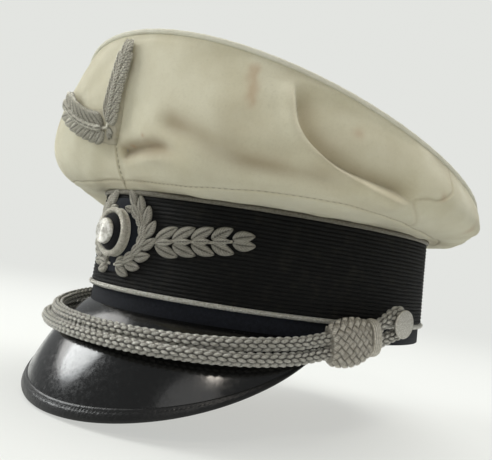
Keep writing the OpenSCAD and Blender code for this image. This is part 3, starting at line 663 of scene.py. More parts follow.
def rim_height(c):
    return RIM_BACK + (RIM_TOP - RIM_BACK) * np.clip((1 + c) / 2, 0, None) ** 1.5


def weights(t, v, low):
    c = np.cos(np.radians(t))
    front = bump(turned(t), 26) if low else np.maximum(0, c) ** 1.5
    return v[1] + (v[0] - v[1]) * front + (v[2] - v[1]) * np.maximum(0, -c) ** 1.5


def rim_pt(t):
    r = np.radians(t)
    return np.stack([RIM_A * np.sin(r), -RIM_B * np.cos(r) - RIM_FWD, rim_height(np.cos(r))], -1)


def rim_out(t):
    r = np.radians(t)
    return unit(np.stack([np.sin(r) / RIM_A, -np.cos(r) / RIM_B, 0 * r], -1))


def crown_pt(t, u):
    t, u = np.broadcast_arrays(np.asarray(t, float), np.asarray(u, float))
    n = rim_out(t)
    p0 = band_pt(t, 0, PANEL_Z)
    p3 = rim_pt(t)
    hang, close = bump(turned(t) + 75, 20), bump(turned(t) - 115, 32)
    reach = weights(t, LOW_REACH, True) - 6 * hang - 20 * close
    rise = weights(t, LOW_RISE, True) - 23 * hang + 4 * close
    full = weights(t, HIGH_REACH, False) + 6 * bump(turned(t) + 34, 24)
    p1 = p0 + n * reach[..., None] + UP * rise[..., None]
    p2 = p3 + n * full[..., None] - UP * weights(t, HIGH_DROP, False)[..., None]
    u = u[..., None]
    v = 1 - u
    return v ** 3 * p0 + 3 * u * v * v * p1 + 3 * u * u * v * p2 + u ** 3 * p3


def crown_normal(t, u):
    t, u = np.broadcast_arrays(np.asarray(t, float), np.asarray(u, float))
    return unit(np.cross(crown_pt(t + 1, u) - crown_pt(t - 1, u),
        crown_pt(t, np.minimum(u + 0.02, 1)) - crown_pt(t, u - 0.02)))


def distance_to(P, N, turns_heights):
    """Signed distance in millimetres from a line drawn on the crown, and how far along it, 0 to 1."""
    line = spline(turns_heights, 160)
    L = crown_pt(line[:, 0], line[:, 1])
    T = unit(np.gradient(L, axis=0))
    flat, nf = P.reshape(-1, 3), N.reshape(-1, 3)
    dist, far = np.empty(len(flat)), np.empty(len(flat))
    for s in range(0, len(flat), 20000):
        d = flat[s:s + 20000, None] - L[None]
        sq = (d ** 2).sum(-1)
        i = sq.argmin(1)
        r = np.arange(len(i))
        side = np.sign((np.cross(T[i], d[r, i]) * nf[s:s + 20000]).sum(-1))
        dist[s:s + 20000] = np.sqrt(sq[r, i]) * np.where(side == 0, 1, side)
        far[s:s + 20000] = i / 159
    return dist.reshape(P.shape[:2]), far.reshape(P.shape[:2])


# Lines on the cover, as [degrees from the front, height fraction]
FOLD = [(46, 0.93), (47.5, 0.83), (49.5, 0.70), (53.5, 0.60), (60, 0.52), (70.5, 0.46), (78, 0.43)]
DENT_LOW = [(1, 0.27), (7, 0.305), (14, 0.34), (22, 0.375), (30, 0.36)]
DENT_HIGH = [(17, 0.55), (23, 0.53), (29, 0.51), (41, 0.44), (50, 0.44), (60, 0.43), (66, 0.40)]
SIDE_SEAM = [(90, 1.0), (89, 0.86), (88, 0.715), (83.5, 0.57), (79.5, 0.535), (77, 0.46), (81, 0.325),
    (85, 0.2), (84, 0.14)]
RIGHT_SEAM = [(-90, 1.0), (-89, 0.7), (-86, 0.4), (-87, 0.14)]
HEM_UP = [(0, 0.075), (20, 0.11), (48, 0.225), (63.5, 0.275), (81, 0.19), (100, 0.13), (140, 0.10),
    (180, 0.10)]
BACK_PULL = [(150, 0.75), (128, 0.55), (112, 0.50)]
RIGHT_FOLD = [(-40, 0.82), (-52, 0.62), (-66, 0.5), (-84, 0.46)]


def seam_profile(d):
    """A lapped seam: a fine groove with a soft ridge on each side."""
    return -0.55 * bump(d, 0.55) + 0.28 * bump(np.abs(d) - 1.5, 1.2)


NT, NU = 900, 132
t_side = np.linspace(-180, 180, NT + 1)[:, None]
top_u = 1 - 1.25 / (3 * np.hypot(weights(t_side, HIGH_REACH, False), weights(t_side, HIGH_DROP, False)))
u_side = np.linspace(0, 1, NU)[None] * top_u
P = crown_pt(t_side, u_side)
N = crown_normal(t_side, u_side)
height_mm = np.concatenate([np.zeros((NT + 1, 1)),
    np.cumsum(np.linalg.norm(np.diff(P, axis=1), axis=2), axis=1)], 1)
T = np.broadcast_to(t_side, P.shape[:2])
free = smooth(0, 5, height_mm) * smooth(0, 5, height_mm[:, -1:] - height_mm)

push = 0.9 * wave_noise(T * 1.9, height_mm, 21, 60) + 0.35 * wave_noise(T * 1.9, height_mm, 22, 24)
# gathers where the cloth is sewn to the rim and to the band
push += 0.30 * np.sin(np.radians(T) * 31 + 2 * np.sin(np.radians(T) * 5)) * bump(height_mm[:, -1:]
    - height_mm, 9)
push += 0.34 * np.sin(np.radians(T) * 27 + 3 * np.sin(np.radians(T) * 4)) * bump(height_mm - 3,
    8) * smooth(35, 80, np.abs(T))
# the roll above the band in front, and the dents over it
push += 1.4 * bump(height_mm - 9, 8) * bump(T - 12, 42)
d1, f1 = distance_to(P, N, DENT_LOW)
push -= 4.2 * bump(d1, 3.2) * smooth(0, 0.10, f1) * smooth(1, 0.55, f1)
push += 1.0 * bump(d1 + 5.5, 3.5) * smooth(0, 0.12, f1) * smooth(1, 0.5, f1)
d2, f2 = distance_to(P, N, DENT_HIGH)
push -= 3.0 * bump(d2, 4.8) * smooth(0, 0.2, f2) * smooth(1, 0.8, f2)
# the long fold: a ridge along it, then the cloth beside it sinks and comes back
d3, f3 = distance_to(P, N, FOLD)
lasts = smooth(0, 0.22, f3) * smooth(1, 0.86, f3)
sunk = smooth(-1.3, 1.6, d3) * np.exp(-np.clip(d3, 0, None) / 17)
push += lasts * (2.6 * bump(d3 + 2.6, 4.6) * smooth(1.6, -0.4, d3) - 6.4 * sunk)
d6, f6 = distance_to(P, N, RIGHT_FOLD)
push -= 2.0 * bump(d6, 6) * smooth(0, 0.3, f6) * smooth(1, 0.7, f6)
d7, f7 = distance_to(P, N, BACK_PULL)
push -= 1.6 * bump(d7, 6) * smooth(0, 0.3, f7) * smooth(1, 0.7, f7)
push *= free
# seams
d4, d5 = distance_to(P, N, SIDE_SEAM)[0], distance_to(P, N, RIGHT_SEAM)[0]
front_d = (T - (-1.5 * smooth(0.4, 0, u_side))) * 1.95
back_d = turned(T - 180) * 1.85
seam = seam_profile(front_d) + seam_profile(back_d) + seam_profile(d4) * 0.8 + seam_profile(d5) * 0.8
hem = spline(HEM_UP, 400)
hem_u = np.interp(np.abs(T), hem[:, 0], hem[:, 1])
hem_mm = np.array([np.interp(hem_u[i, 0], u_side[i], height_mm[i]) for i in range(NT + 1)])[:, None]
push += (seam - 0.4 * bump(height_mm - hem_mm, 0.6) + 0.22 * smooth(0, 1.5, hem_mm - height_mm)) * smooth(0,
    3, height_mm[:, -1:] - height_mm)
OUTER = P + N * (push[..., None] - 0.15)
CLOTH_UV = np.stack([np.radians(T) * 112, height_mm], -1)

# Soiling and painted shade on the cover: painted shade in the two dents and in the trough beside the long
# fold, a darker foot just above the band, random soiling, and dark seams and hem line
soil = 0.75 * bump(d1, 4.2) * smooth(0, 0.1, f1) * smooth(1, 0.6, f1)
soil += 0.62 * bump(d2 - 0.5, 6.5) * smooth(0, 0.15, f2) * smooth(1, 0.75,
    f2) * (0.75 + 0.35 * wave_noise(T, height_mm, 31, 12))
soil += 0.42 * lasts * bump(d3 - 4, 5.0) + 0.16 * bump(height_mm - 3,
    6) * (1 + wave_noise(T, height_mm, 32, 14))
soil += 0.13 * np.clip(wave_noise(T * 1.9, height_mm, 33, 34), 0, 1) + 0.25 * bump(d4,
    0.7) + 0.3 * (bump(front_d, 0.6) + bump(back_d, 0.6) + bump(d5, 0.6)) + 0.25 * bump(height_mm - hem_mm,
    0.7)
mark = spline([(37.5, 0.96), (38, 0.86), (39, 0.76), (39.5, 0.68)], 40)
d8, f8 = distance_to(P, N, mark)
rust = 0.42 * bump(d8 + 0.8 * wave_noise(T * 2, height_mm, 41, 7), 2.6) * smooth(0, 0.2, f8) * smooth(1,
    0.7, f8)
for at_t, at_u, size, much in ((62, 0.80, 2.6, 0.35), (85, 0.62, 2.2, 0.3), (104, 0.5, 3.5, 0.3),
        (-30, 0.6, 2.4, 0.3), (-98, 0.55, 4, 0.25), (160, 0.4, 3, 0.25), (6, 0.32, 1.1, 0.6),
        (14, 0.42, 1.0, 0.5)):
    c = crown_pt(np.array(float(at_t)), np.array(at_u))
    rust = rust + much * bump(np.linalg.norm(P - c, axis=-1), size)

side = Shape()
inner = OUTER - normals_of(OUTER) * 0.8
side.sheet(OUTER, inner, CLOTH_UV, soil=np.clip(soil, 0, 0.85), rust=np.clip(rust, 0, 0.7))
side.make("crown_side_cloth", "crown_cover",
    ["crown_panel_front_left", "crown_panel_front_right", "crown_panel_back_left",
    "crown_panel_back_right"], WHITE, "white_cotton")

# Top of the cover, a little uneven, with a trough just inside the piping, in a copy of the cotton painted
# lighter
f = np.concatenate([np.linspace(0.0005, 0.88, 60), np.linspace(0.89, 0.986, 16)])[None]
t = np.linspace(-180, 180, 481)[:, None]
r = np.radians(t)
x, y = RIM_A * f * np.sin(r), -RIM_B * f * np.cos(r) - RIM_FWD
z = rim_height(f * np.cos(r)) + 3 * (1 - f * f)
z = z + (0.9 * wave_noise(x, y, 51, 90) + 0.4 * wave_noise(x, y, 52, 38)) * smooth(1, 0.75,
    f) - 0.5 * bump(f - 0.93, 0.02)
z = z + 1.6 * bump(f - 0.80, 0.10) * np.maximum(0, -np.cos(r))
edge = 0.25 * np.sin(r * 61 + 2 * np.sin(r * 7)) * bump(f - 0.95, 0.04)
TOP = np.stack([x, y, z + edge], -1)
TOP[-1] = TOP[0]
cap_top = Shape()
cap_top.add(TOP - np.array([0, 0, 0.8]), np.stack([x, y], -1), flip=True)
cap_top.add(np.stack([TOP[:, -1], TOP[:, -1] - np.array([0, 0, 0.8])], 1))
cap_top.add(TOP, np.stack([x, y], -1),
    soil=np.clip(0.10 * wave_noise(x, y, 53, 30), 0, 1) + 0.2 * bump(f - 0.97, 0.02),
    rust=np.clip(0.5 * wave_noise(x, y, 54, 26) - 0.42, 0, 0.4))
cap_top.make("crown_top_cloth", "crown_cover", ["crown_top"], WHITE_TOP_PAINTED_LIGHTER, "white_cotton")

# The rim cord wears the copy of the cotton that is painted lighter
path = rim_pt(np.linspace(-180, 180, 900, endpoint=False))
s_wave = lambda s, f: 1.25 + 0.06 * np.sin(s * 2.2) + 0.05 * np.sin(s * 0.7
    + f) + 0.10 * bump(turned(np.degrees(f) - 60), 18)
Shape().tube(path, 1, 18, True, shape=s_wave).make("crown_rim_cord", "crown_cover", ["crown_rim_piping"],
    WHITE_TOP_PAINTED_LIGHTER, "white_cotton")

# Topstitching beside the front seam and along the hem
sew = Shape()


def on_side(t, h):
    """Points of the finished cloth at azimuth t and height h above its lower edge."""
    i = np.clip(((np.asarray(t, float) + 180) / 360 * NT), 0, NT - 1e-6)
    a = i.astype(int)
    k = (i - a)[:, None]
    rows = [np.array([[np.interp(hh, height_mm[j], OUTER[j, :, c]) for c in range(3)] for j,
        hh in zip(row, h)]) for row in (a, a + 1)]
    return mix(rows[0], rows[1], k)


hh = np.linspace(3, 26, 40)
tt = -1.5 * smooth(0.4, 0, hh / 75) + 1.9 / 1.95
stitch_row(sew, on_side(tt, hh), crown_normal(tt, hh / 75), 2.0, 0.9, 0.22)
tt = np.linspace(-178, 178, 700)
hm = np.interp(tt, t_side[:, 0], hem_mm[:, 0])
stitch_row(sew, on_side(tt, hm - 0.1), crown_normal(tt, np.interp(np.abs(tt), hem[:, 0], hem[:, 1])), 2.2,
    0.8, 0.2, -0.12)
sew.make("crown_stitching", "crown_cover", None, THREAD, "white_cotton", weld=False)

# Turned-in hem, which tucks inside the band
hem_shape = Shape()
tuck = STIFF_IN - 0.5
hem_profile = [
    (tuck, BAND_H - 8), (tuck, PANEL_Z - 0.6), (tuck + 0.15, PANEL_Z - 0.1), (tuck + 0.5, PANEL_Z + 0.12),
    (-1.1, PANEL_Z + 0.12), (-1.1, PANEL_Z + 1), (tuck - 0.3, PANEL_Z + 1), (tuck - 0.8, PANEL_Z + 0.6),
    (tuck - 0.9, PANEL_Z), (tuck - 0.9, BAND_H - 7.6), (tuck - 0.45, BAND_H - 8.2), (tuck, BAND_H - 8),
]
ring(hem_shape, hem_profile, flip=True)
hem_shape.make("crown_hem_cloth", "crown_cover", ["crown_hem"], WHITE_IN, "white_lining")

wire = rim_pt(loop_t) - rim_out(loop_t) * 4.6 - UP * 4.1
Shape().tube(wire, 1.08, 12, True).make("crown_hoop_wire", "crown_cover", ["crown_wire"], STEEL,
    "spring_steel")

# Wadding behind the front, a soft pad swelling between its edges
pad = Shape()
tt, uu = np.linspace(-25, 25, 61)[:, None], np.linspace(0.31, 0.85, 49)[None]
swell = ((1 - (tt / 25) ** 4) * (1 - ((uu - 0.58) / 0.27) ** 4)) ** 0.5
pp, nn = crown_pt(tt, uu), crown_normal(tt, uu)
nz = 0.25 * wave_noise(tt * 2, uu * 80, 61, 9) * swell
tuft = sum(0.9 * bump(np.hypot((tt - a) * 2, (uu - b) * 75), 3.2) for a in (-14, 0, 14) for b in (0.46, 0.70))
pad.sheet(pp - nn * (5.7 - 1.4 * swell + nz + 0.5 * tuft)[..., None],
    pp - nn * (5.9 + 1.6 * swell + nz - 0.8 * tuft)[..., None])
o = pad.make("front_pad_wadding", "crown_cover", ["front_pad"], WAD, "wadding")


# ---- Lining ------------------------------------------------------------------------------

def lining_pt(t, w, inset):
    t, w = np.broadcast_arrays(np.asarray(t, float), np.asarray(w, float))
    f = np.cos(np.pi / 2 * w) ** 0.55
    edge = band_pt(t, STIFF_IN - 2.2 - inset, SWEAT_H + 1)
    y = edge[..., 1] * f - 2 * (1 - f)
    top = rim_height(-(y + RIM_FWD) / RIM_B) - 11 - inset
    return np.stack([edge[..., 0] * f, y, mix(SWEAT_H + 1, top, np.sin(np.pi / 2 * w) ** 0.8)], -1)


t = np.linspace(-180, 180, 721)[:, None]
w = np.linspace(0, 0.9995, 90)[None]
L = lining_pt(t, w, 0.0)
# pleats near its edge, fading towards the top
pleat = np.abs(((t / 9 + 0.25 * np.sin(np.radians(t) * 3)) % 1) - 0.5) * 2
deep = 0.9 * smooth(0.75, 0.12, w) * (1 - pleat ** 2.2) * smooth(0.0, 0.05, w)
centre = np.array([0, -2, 60.0])
inward = unit(centre - L)
L1 = L + inward * (0.15 + deep + 0.25 * wave_noise(t * 1.5, w * 90, 71, 20) * smooth(0, 0.2, w))[..., None]
lining = Shape()
lining.sheet(L1 - inward * 0.35, L1, np.stack(np.broadcast_arrays(np.radians(t) * 80, w * 110), -1))
lining.make("lining_silk_pleated", "cap", ["crown_lining"], SILK, "lining_silk")

t = np.linspace(0, 360, 241)[:, None]
reach = 0.72 / (np.abs(np.sin(np.radians(t))) * 1.35 + np.abs(np.cos(np.radians(t))))
kk = np.linspace(0, 1, 30)[None]
ws = np.degrees(np.arccos(np.clip(reach * (1 - kk * 0.999), 1e-6, 1) ** (1 / 0.55))) / 90
S1 = lining_pt(t, ws, 1.35)
shield = Shape()
shield.sheet(S1 + np.array([0, 0, 0.2]), S1 - np.array([0, 0, 0.25]))
shield.make("sweat_shield_clear", "cap", ["sweat_shield"], CLEAR, "clear_sheet")
edge_line = lining_pt(t[:, 0], ws[:, 0], 1.7)
sew = Shape()
stitch_row(sew, mix(edge_line, lining_pt(t[:, 0], ws[:, 1], 1.8), 0.6),
    np.broadcast_to(-UP, edge_line.shape), 2.2, 0.9, 0.2, 0.05)
sew.make("shield_stitching", "cap", None, THREAD, "lining_silk", weld=False)


# ---- Visor -------------------------------------------------------------------------------

def visor_pt(s, u):
    s, u = np.broadcast_arrays(np.asarray(s, float), np.asarray(u, float))
    t = 72 * s
    p = band_pt(t, MOHAIR_IN, 0.0)
    n = unit(np.stack([np.sin(np.radians(t)) / BAND_A, -np.cos(np.radians(t)) / BAND_B], -1))
    out = (2 * u * (1 - u) * 0.62 + u * u) * (29 * (1 - np.abs(s) ** 2.6) + 1)
    down = (2 * u * (1 - u) * 0.27 + u * u) * 50 * (1 - s * s)
    return np.stack([p[..., 0] + n[..., 0] * out, p[..., 1] + n[..., 1] * out, -0.1 - down], -1)


def visor_normal(s, u):
    return unit(np.cross(visor_pt(s + 0.01, u) - visor_pt(s - 0.01, u),
        visor_pt(s, u - 0.02) - visor_pt(s, u + 0.02)))


def visor_off(s, u, o):
    return visor_pt(s, u) + visor_normal(s, u) * np.asarray(o)[..., None]


s = np.linspace(-0.97, 0.97, 301)[:, None]
u = np.concatenate([np.linspace(0, 0.9, 60), np.linspace(0.91, 1, 14)])[None]
wob = 0.22 * wave_noise(s * 120, u * 60, 81, 55) * smooth(0, 0.3, u)
ease = 0.75 * (1 - np.sqrt(np.clip(1 - smooth(0.955, 1.0, u) ** 2 * 0.96, 0, 1)))
up_face = visor_off(s, u, wob - ease)
lo_face = visor_off(s, u, wob - 1.8 + ease)
visor = Shape()
visor.sheet(up_face, lo_face)
visor.make("visor_lacquered", "cap", ["visor"], LACQUER, "black_lacquer", sharp=70)
u = np.linspace(0.06, 0.965, 50)[None]
wob = 0.22 * wave_noise(s * 120, u * 60, 81, 55) * smooth(0, 0.3, u)
Shape().sheet(visor_off(s, u, wob - 1.92), visor_off(s, u, wob - 2.35)).make("visor_lining_cloth", "cap",
    ["visor_lining"], UNDER, "visor_underside")
# Rim binding: a raised band, pinched by close overcast stitches
s = np.linspace(-0.97, 0.97, 1101)[:, None]
k = np.linspace(0, 1, 22)[None]
u = mix(0.905, 1.0, k)
length = along(visor_pt(s[:, 0], 0.97))[:, None]
pinch = np.abs(np.sin(math.pi * length / 2.1)) ** 0.6
arch = np.sin(math.pi * k) ** 0.5
over = 0.06 + arch * (0.56 + 0.05 * wave_noise(length, k * 5, 83, 3)) - 0.22 * bump(k - 0.30,
    0.09) + 0.16 * bump(k - 0.30, 0.05) * pinch + 0.2 * wave_noise(s * 120, u * 60, 81, 55)
rim = Shape()
rim.sheet(visor_off(s, u, over), visor_off(s, u, -0.05 + 0 * over))
rim.make("visor_rim_binding", "cap", ["visor_rim"], RIM_LEATHER, "black_lacquer", sharp=80)


# ---- Badges ------------------------------------------------------------------------------

BADGE_X, COCKADE_Z, COCKADE_R, WREATH_W, WREATH_H, BACK_T = -2.0, 36.5, 10.8, 20.5, 15.5, 0.9
CROWN_OFF = 0.5


def on_band(q, o):
    return band_pt(np.degrees(q[..., 0] / (BAND_A + 4)), o, q[..., 1])


def on_crown(q, o):
    t = np.degrees(np.arcsin(q[..., 0] / (RIM_A + 8)))
    u = (q[..., 1] - PANEL_Z) / (rim_height(np.cos(np.radians(t))) - PANEL_Z)
    return crown_pt(t, u) + crown_normal(t, u) * np.asarray(o)[..., None]


def bullion_leaf(shape, place, root, angle, length, width, lift, curl=0.0, rise=1.25, coils=None):
    """A padded leaf worked in coiled wire: slanting ridges each side of a sunk midrib."""
    coils = coils or max(5, int(length / 1.25))
    a = np.linspace(0, 1, coils * 8 + 1)[:, None]
    b = np.linspace(-1, 1, 13)[None]
    bend = np.radians(angle) + curl * a
    cx = np.cumsum(np.cos(bend), 0) / len(a) * length
    cy = np.cumsum(np.sin(bend), 0) / len(a) * length
    half = width / 2 * (0.10 + 0.90 * np.sin(math.pi * np.clip(a, 0, 1) ** 0.82) ** 0.75)
    px = root[0] + cx - np.sin(bend) * half * b
    py = root[1] + cy + np.cos(bend) * half * b
    slant = a * coils - 0.95 * np.abs(b) * coils * 0.12 / 0.4
    ridge = np.abs(np.sin(math.pi * slant)) ** 0.6
    body = np.sqrt(np.clip(1 - b * b, 0, 1))
    top = lift + rise * body ** 0.8 * (0.5 + 0.5 * np.sin(math.pi * a) ** 0.5) * (0.56
        + 0.44 * ridge) - 0.4 * bump(b, 0.14)
    q = np.stack(np.broadcast_arrays(px, py), -1)
    # painted shade: darker in the grooves between coils, along the sunk midrib and at the leaf's edges
    groove_shade = np.clip((1 - ridge) * 1.6 + 1.1 * bump(b, 0.12) + 0.6 * np.abs(b) ** 8, 0, 1)
    upper = place(q, top)
    lower = place(q, lift - 0.05 + 0 * top)
    shape.sheet(upper, lower, np.stack(np.broadcast_arrays(a * length, b * half + 0 * a), -1), deep=groove_shade)


def leaf_pair(shape, place, at, way, foot, leaves, lift, curl, rise):
    """Two leaves, one each side of a stem that runs one way; each leaf is [spread, length, width]."""
    across = np.array([-math.sin(math.radians(way)), math.cos(math.radians(way))])
    for row, (spread, length, width) in zip((-1, 1), leaves):
        bullion_leaf(shape, place, at + across * row * foot, way + row * spread, length, width, lift,
            row * curl, rise)


def stem(shape, place, line, lift, r=0.62):
    """A twisted wire stem laid along a flat line."""
    q = np.asarray(line, float)
    p = resample(relaxed(place(q, lift + r * 0.7 + 0 * q[:, 0]), 3), 0.3)
    shape.tube(p, 1, 10, shape=rope(2, 1.7, r, r * 0.3))


backing = Shape()
half_w = WREATH_W + 5
x = np.linspace(-1, 1, 121)[:, None] * half_w * 0.999
h = (WREATH_H + 4) * np.sqrt(np.clip(1.01 - (x / half_w) ** 2, 0, 1)) + 0.25 * np.sin(x * 2.3)
j = np.linspace(0, 1, 49)[None]
q = np.stack(np.broadcast_arrays(BADGE_X + x, COCKADE_Z + mix(-h, np.minimum(h, 17.5), j)), -1)
edge = 1 - np.maximum(np.abs(x / half_w) ** 10, np.abs(2 * j - 1) ** 14)
backing.sheet(on_band(q, MOHAIR_OUT + 0.05 + BACK_T * (0.25 + 0.75 * np.clip(edge, 0, 1) ** 0.5)),
    on_band(q, MOHAIR_OUT - 0.1 + 0 * edge))
backing.make("band_badge_felt", "cap", ["band_badge_backing"], BADGE_DARK, "badge_cloth_dark")

wreath = Shape()
lift = MOHAIR_OUT + BACK_T + 0.02
for sd in (-1, 1):
    ang = np.radians(np.linspace(-84, 60, 40))
    stem(wreath, on_band, np.stack(
        [BADGE_X + sd * WREATH_W * np.cos(ang), COCKADE_Z - 0.4 + WREATH_H * np.sin(ang)], -1), lift - 0.1,
        0.7)
    for k in range(8):
        fa = math.radians(mix(-78, 56, k / 7))
        d = math.degrees(math.atan2(WREATH_H * math.cos(fa), -WREATH_W * math.sin(fa)))
        at = np.array([BADGE_X + sd * WREATH_W * math.cos(fa), COCKADE_Z - 0.4 + WREATH_H * math.sin(fa)])
        d = d if sd > 0 else 180 - d
        outer_then_inner = ((36, 10.2, 5.4), (22, 7.0, 4.2))
        leaf_pair(wreath, on_band, at, d, 0.9, outer_then_inner[::sd], lift, -0.25, 1.9)
        if k < 7:
            bullion_leaf(wreath, on_band, at, d, 7.8, 4.0, lift + 1.0, rise=1.6)
wreath.make("wreath_bullion", "cap", ["badge_wreath"], BULLION_PALE, "silver_bullion", weld=False, sharp=75)

for sd, nm in ((1, "left"), (-1, "right")):
    sprig = Shape()
    a0 = np.array([BADGE_X + sd * 28, COCKADE_Z - 2.5])
    a1 = np.array([BADGE_X + sd * 66, COCKADE_Z + 3.5])
    d = math.degrees(math.atan2(*(a1 - a0)[::-1]))
    stem(sprig, on_band, np.stack(
        [np.linspace(a0[0] - sd * 1.0, a1[0], 30),
        np.linspace(a0[1], a1[1], 30) + 0.5 * np.sin(np.linspace(0, 6, 30))], -1), MOHAIR_OUT - 0.1, 0.8)
    for k in range(5):
        at = mix(a0, a1, k / 4)
        size = mix(12.9, 9.8, k / 4)
        leaf_pair(sprig, on_band, at, d, 0.9, [(16 if k == 4 else 34, size * 1.06, 5.9)] * 2,
            MOHAIR_OUT + 0.02, -0.3, 2.0)
        if k < 4:
            bullion_leaf(sprig, on_band, at + (a1 - a0) * 0.03, d, size * 0.72, 3.6, MOHAIR_OUT + 1.1,
                rise=1.2)
    sprig.make("sprig_bullion_" + nm, "cap", ["badge_sprig_" + nm], BULLION_PALE, "silver_bullion",
        weld=False, sharp=75)

COCKADE_Y, COCKADE_T = -(BAND_B + MOHAIR_OUT + 1.2), 6.7
a = np.linspace(0, 1, 22)
edge_r = COCKADE_R - 1.6
disc = Shape()
disc.lathe([(edge_r * 0.97, -0.4), (edge_r, 1.0)]
    + [(edge_r * math.cos(x * math.pi / 2) ** 0.6, COCKADE_T * (0.5 + 0.5 * math.sin(x * math.pi / 2)))
    for x in a[:-1]] + [(0.01, COCKADE_T)], 96, (BADGE_X, COCKADE_Y + 0.75, COCKADE_Z), "y", shape=lambda f,
    r: 0.06 * np.sin(f * 40 + r) * bump(r - edge_r, 2))
disc.make("cockade_felt", "cap", ["cockade_disc"], FELT, "black_felt")
f = np.linspace(0, 2 * math.pi, 720, endpoint=False)
path = np.stack([BADGE_X + COCKADE_R * np.cos(f), 0 * f + COCKADE_Y - 2.8,
    COCKADE_Z + COCKADE_R * np.sin(f)], -1)
wall_y = np.linspace(0.5, -2.4, 15)
wall = [(COCKADE_R + 0.5 + 0.35 * abs(math.sin(math.pi * k / 2)) + 0.6 * (1 - k / 14), -y) for k,
    y in enumerate(wall_y)]
cring = Shape()
cring.lathe([(wall[0][0] - 1.2, wall[0][1])] + wall + [(COCKADE_R - 1.0, wall[-1][1])], 180,
    (BADGE_X, COCKADE_Y, COCKADE_Z), "y")
cring.tube(path, 1, 20, True, shape=rope(4, 6.8, 1.55, 0.45), first=np.array([0, 1.0, 0]))
cring.make("cockade_ring_rope", "cap", ["cockade_ring"], BULLION_PALE, "silver_bullion")
boss = Shape()
turns = np.linspace(0, 1, 60)
coil = [(6.3, -0.2), (6.5, 0.25)]
for x in turns:
    r = 6.4 * (1 - x)
    dome = 0.6 + 1.7 * math.sqrt(max(0, 1 - (r / 6.4) ** 2))
    coil.append((max(r, 0.01), dome + 0.45 * abs(math.sin(math.pi * (6.4 - r) / 1.07)) ** 0.6
        + 0.3 * bump(r - 5.8, 0.5)))
boss.lathe(coil, 96, (BADGE_X, COCKADE_Y + 0.7 - COCKADE_T, COCKADE_Z), "y")
boss.make("cockade_boss_silver", "cap", ["cockade_boss"], BOSS, "silver_metal")

# Crown badge: the two sprigs that fork from a short stem
MID = np.array([-2.0, 92.0])
AX = np.array([math.cos(math.radians(118)), math.sin(math.radians(118))])
AC = np.array([AX[1], -AX[0]])


def fork_pt(k):
    sd = -1 if k < 0 else 1
    far = abs(k) * (0.78 if sd > 0 else 1)
    a = math.radians(mix(64, 42, far))
    return MID + 44 * far * (AC * sd * math.sin(a) + AX * math.cos(a))


def fork_dir(k):
    sd = -1 if k < 0 else 1
    d = sd * (fork_pt(k + 0.04) - fork_pt(k - 0.04))
    return math.degrees(math.atan2(d[1], d[0]))


ks = np.linspace(-1, 1, 121)
spine = np.array([fork_pt(k) for k in ks])
spine = relaxed(np.concatenate([spine, np.zeros((121, 1))], 1), 6)[:, :2]
halfh = (mix(9.5, 5.0, np.abs(ks) ** 3) + 0.25 * np.sin(ks * 60))[:, None]
j = np.linspace(-1, 1, 25)[None]
q = spine[:, None] + AX[None, None] * (halfh * j)[..., None]
edge = 1 - np.maximum(np.abs(ks[:, None]) ** 30, np.abs(j) ** 8)
plate = Shape()
plate.sheet(on_crown(q, CROWN_OFF + BACK_T * (0.1 + 0.9 * np.clip(edge, 0, 1) ** 0.5) + 1.1),
    on_crown(q, -0.3 + 0 * edge), soil=0.12, rust=0.0)
plate.make("crown_badge_cloth", "crown_cover", ["crown_badge_backing"], BADGE_PALE, "badge_cloth")

spray = Shape()
lift = CROWN_OFF + BACK_T + 1.12
for sd in (-1, 1):
    stem(spray, on_crown, [fork_pt(sd * k) for k in np.linspace(0.0, 0.9, 40)], lift - 0.1, 0.75)
    for i in range(8):
        k = sd * mix(0.09, 0.90, i / 7)
        size = mix(9.0, 6.8, i / 7) * (0.88 if sd > 0 else 1)
        root, ang = fork_pt(k), fork_dir(k)
        leaf_pair(spray, on_crown, root, ang, 0.8, [(18 if i == 7 else 46, size * 1.3, 5.0)] * 2, lift,
            -0.4, 1.9)
        if i < 7:
            bullion_leaf(spray, on_crown, root, ang, size * 0.95, 3.9, lift + 1.1, rise=1.3)
root = fork_pt(0.001)
down = math.degrees(math.atan2(-AX[1], -AX[0]))
for row in (-1, 0, 1):
    bullion_leaf(spray, on_crown, root - AX * 0.5, down + row * 34, 5.6, 2.8, lift, rise=1.1)
spray.make("crown_badge_bullion", "crown_cover", ["crown_badge_spray"], BULLION, "silver_bullion",
    weld=False, sharp=75)


# ---- Chin cord ---------------------------------------------------------------------------

CORD_R, HINGE = 3.3, np.array([93, 4, 12.2])
S_FROM, S_TO, FRONT_Y, FRONT_Z = np.array([92.6, -12, 4.6]), np.array([87, -56, -4.2]), -119.5, -10.2
deep = S_TO[1] - FRONT_Y
slope = (S_FROM[0] - S_TO[0]) / (S_FROM[1] - S_TO[1])
sine = slope * deep / (S_TO[0] - slope * deep)
ARC_A, ARC_B, ARC_0 = S_TO[0] / math.cos(math.asin(sine)), deep / (1 - sine), math.asin(sine)


def front_arc(f):
    y = FRONT_Y + ARC_B * (1 - np.sin(f))
    return np.stack([ARC_A * np.cos(f), y, mix(FRONT_Z, S_TO[2], ((y - FRONT_Y) / deep) ** 1.3)], -1)


half = np.concatenate([S_FROM + (S_TO - S_FROM) * np.linspace(0, 1, 90, endpoint=False)[:, None],
    front_arc(np.linspace(ARC_0, math.pi / 2, 260))])
tan = unit(np.gradient(half, axis=0))
tan[-1] = (-1, 0, 0)
out = unit(np.cross(UP, tan))
upw = np.cross(tan, out)
w = np.clip((S_TO[1] - half[:, 1]) / deep, 0, 1)
tilt = np.radians(42 * np.sin(np.pi / 2 * w))[:, None]
STACK = upw * np.cos(tilt) - out * np.sin(tilt)
fore = unit([0, S_FROM[1] - HINGE[1], S_FROM[2] - HINGE[2]])
rise = np.array([0, fore[2], -fore[1]])


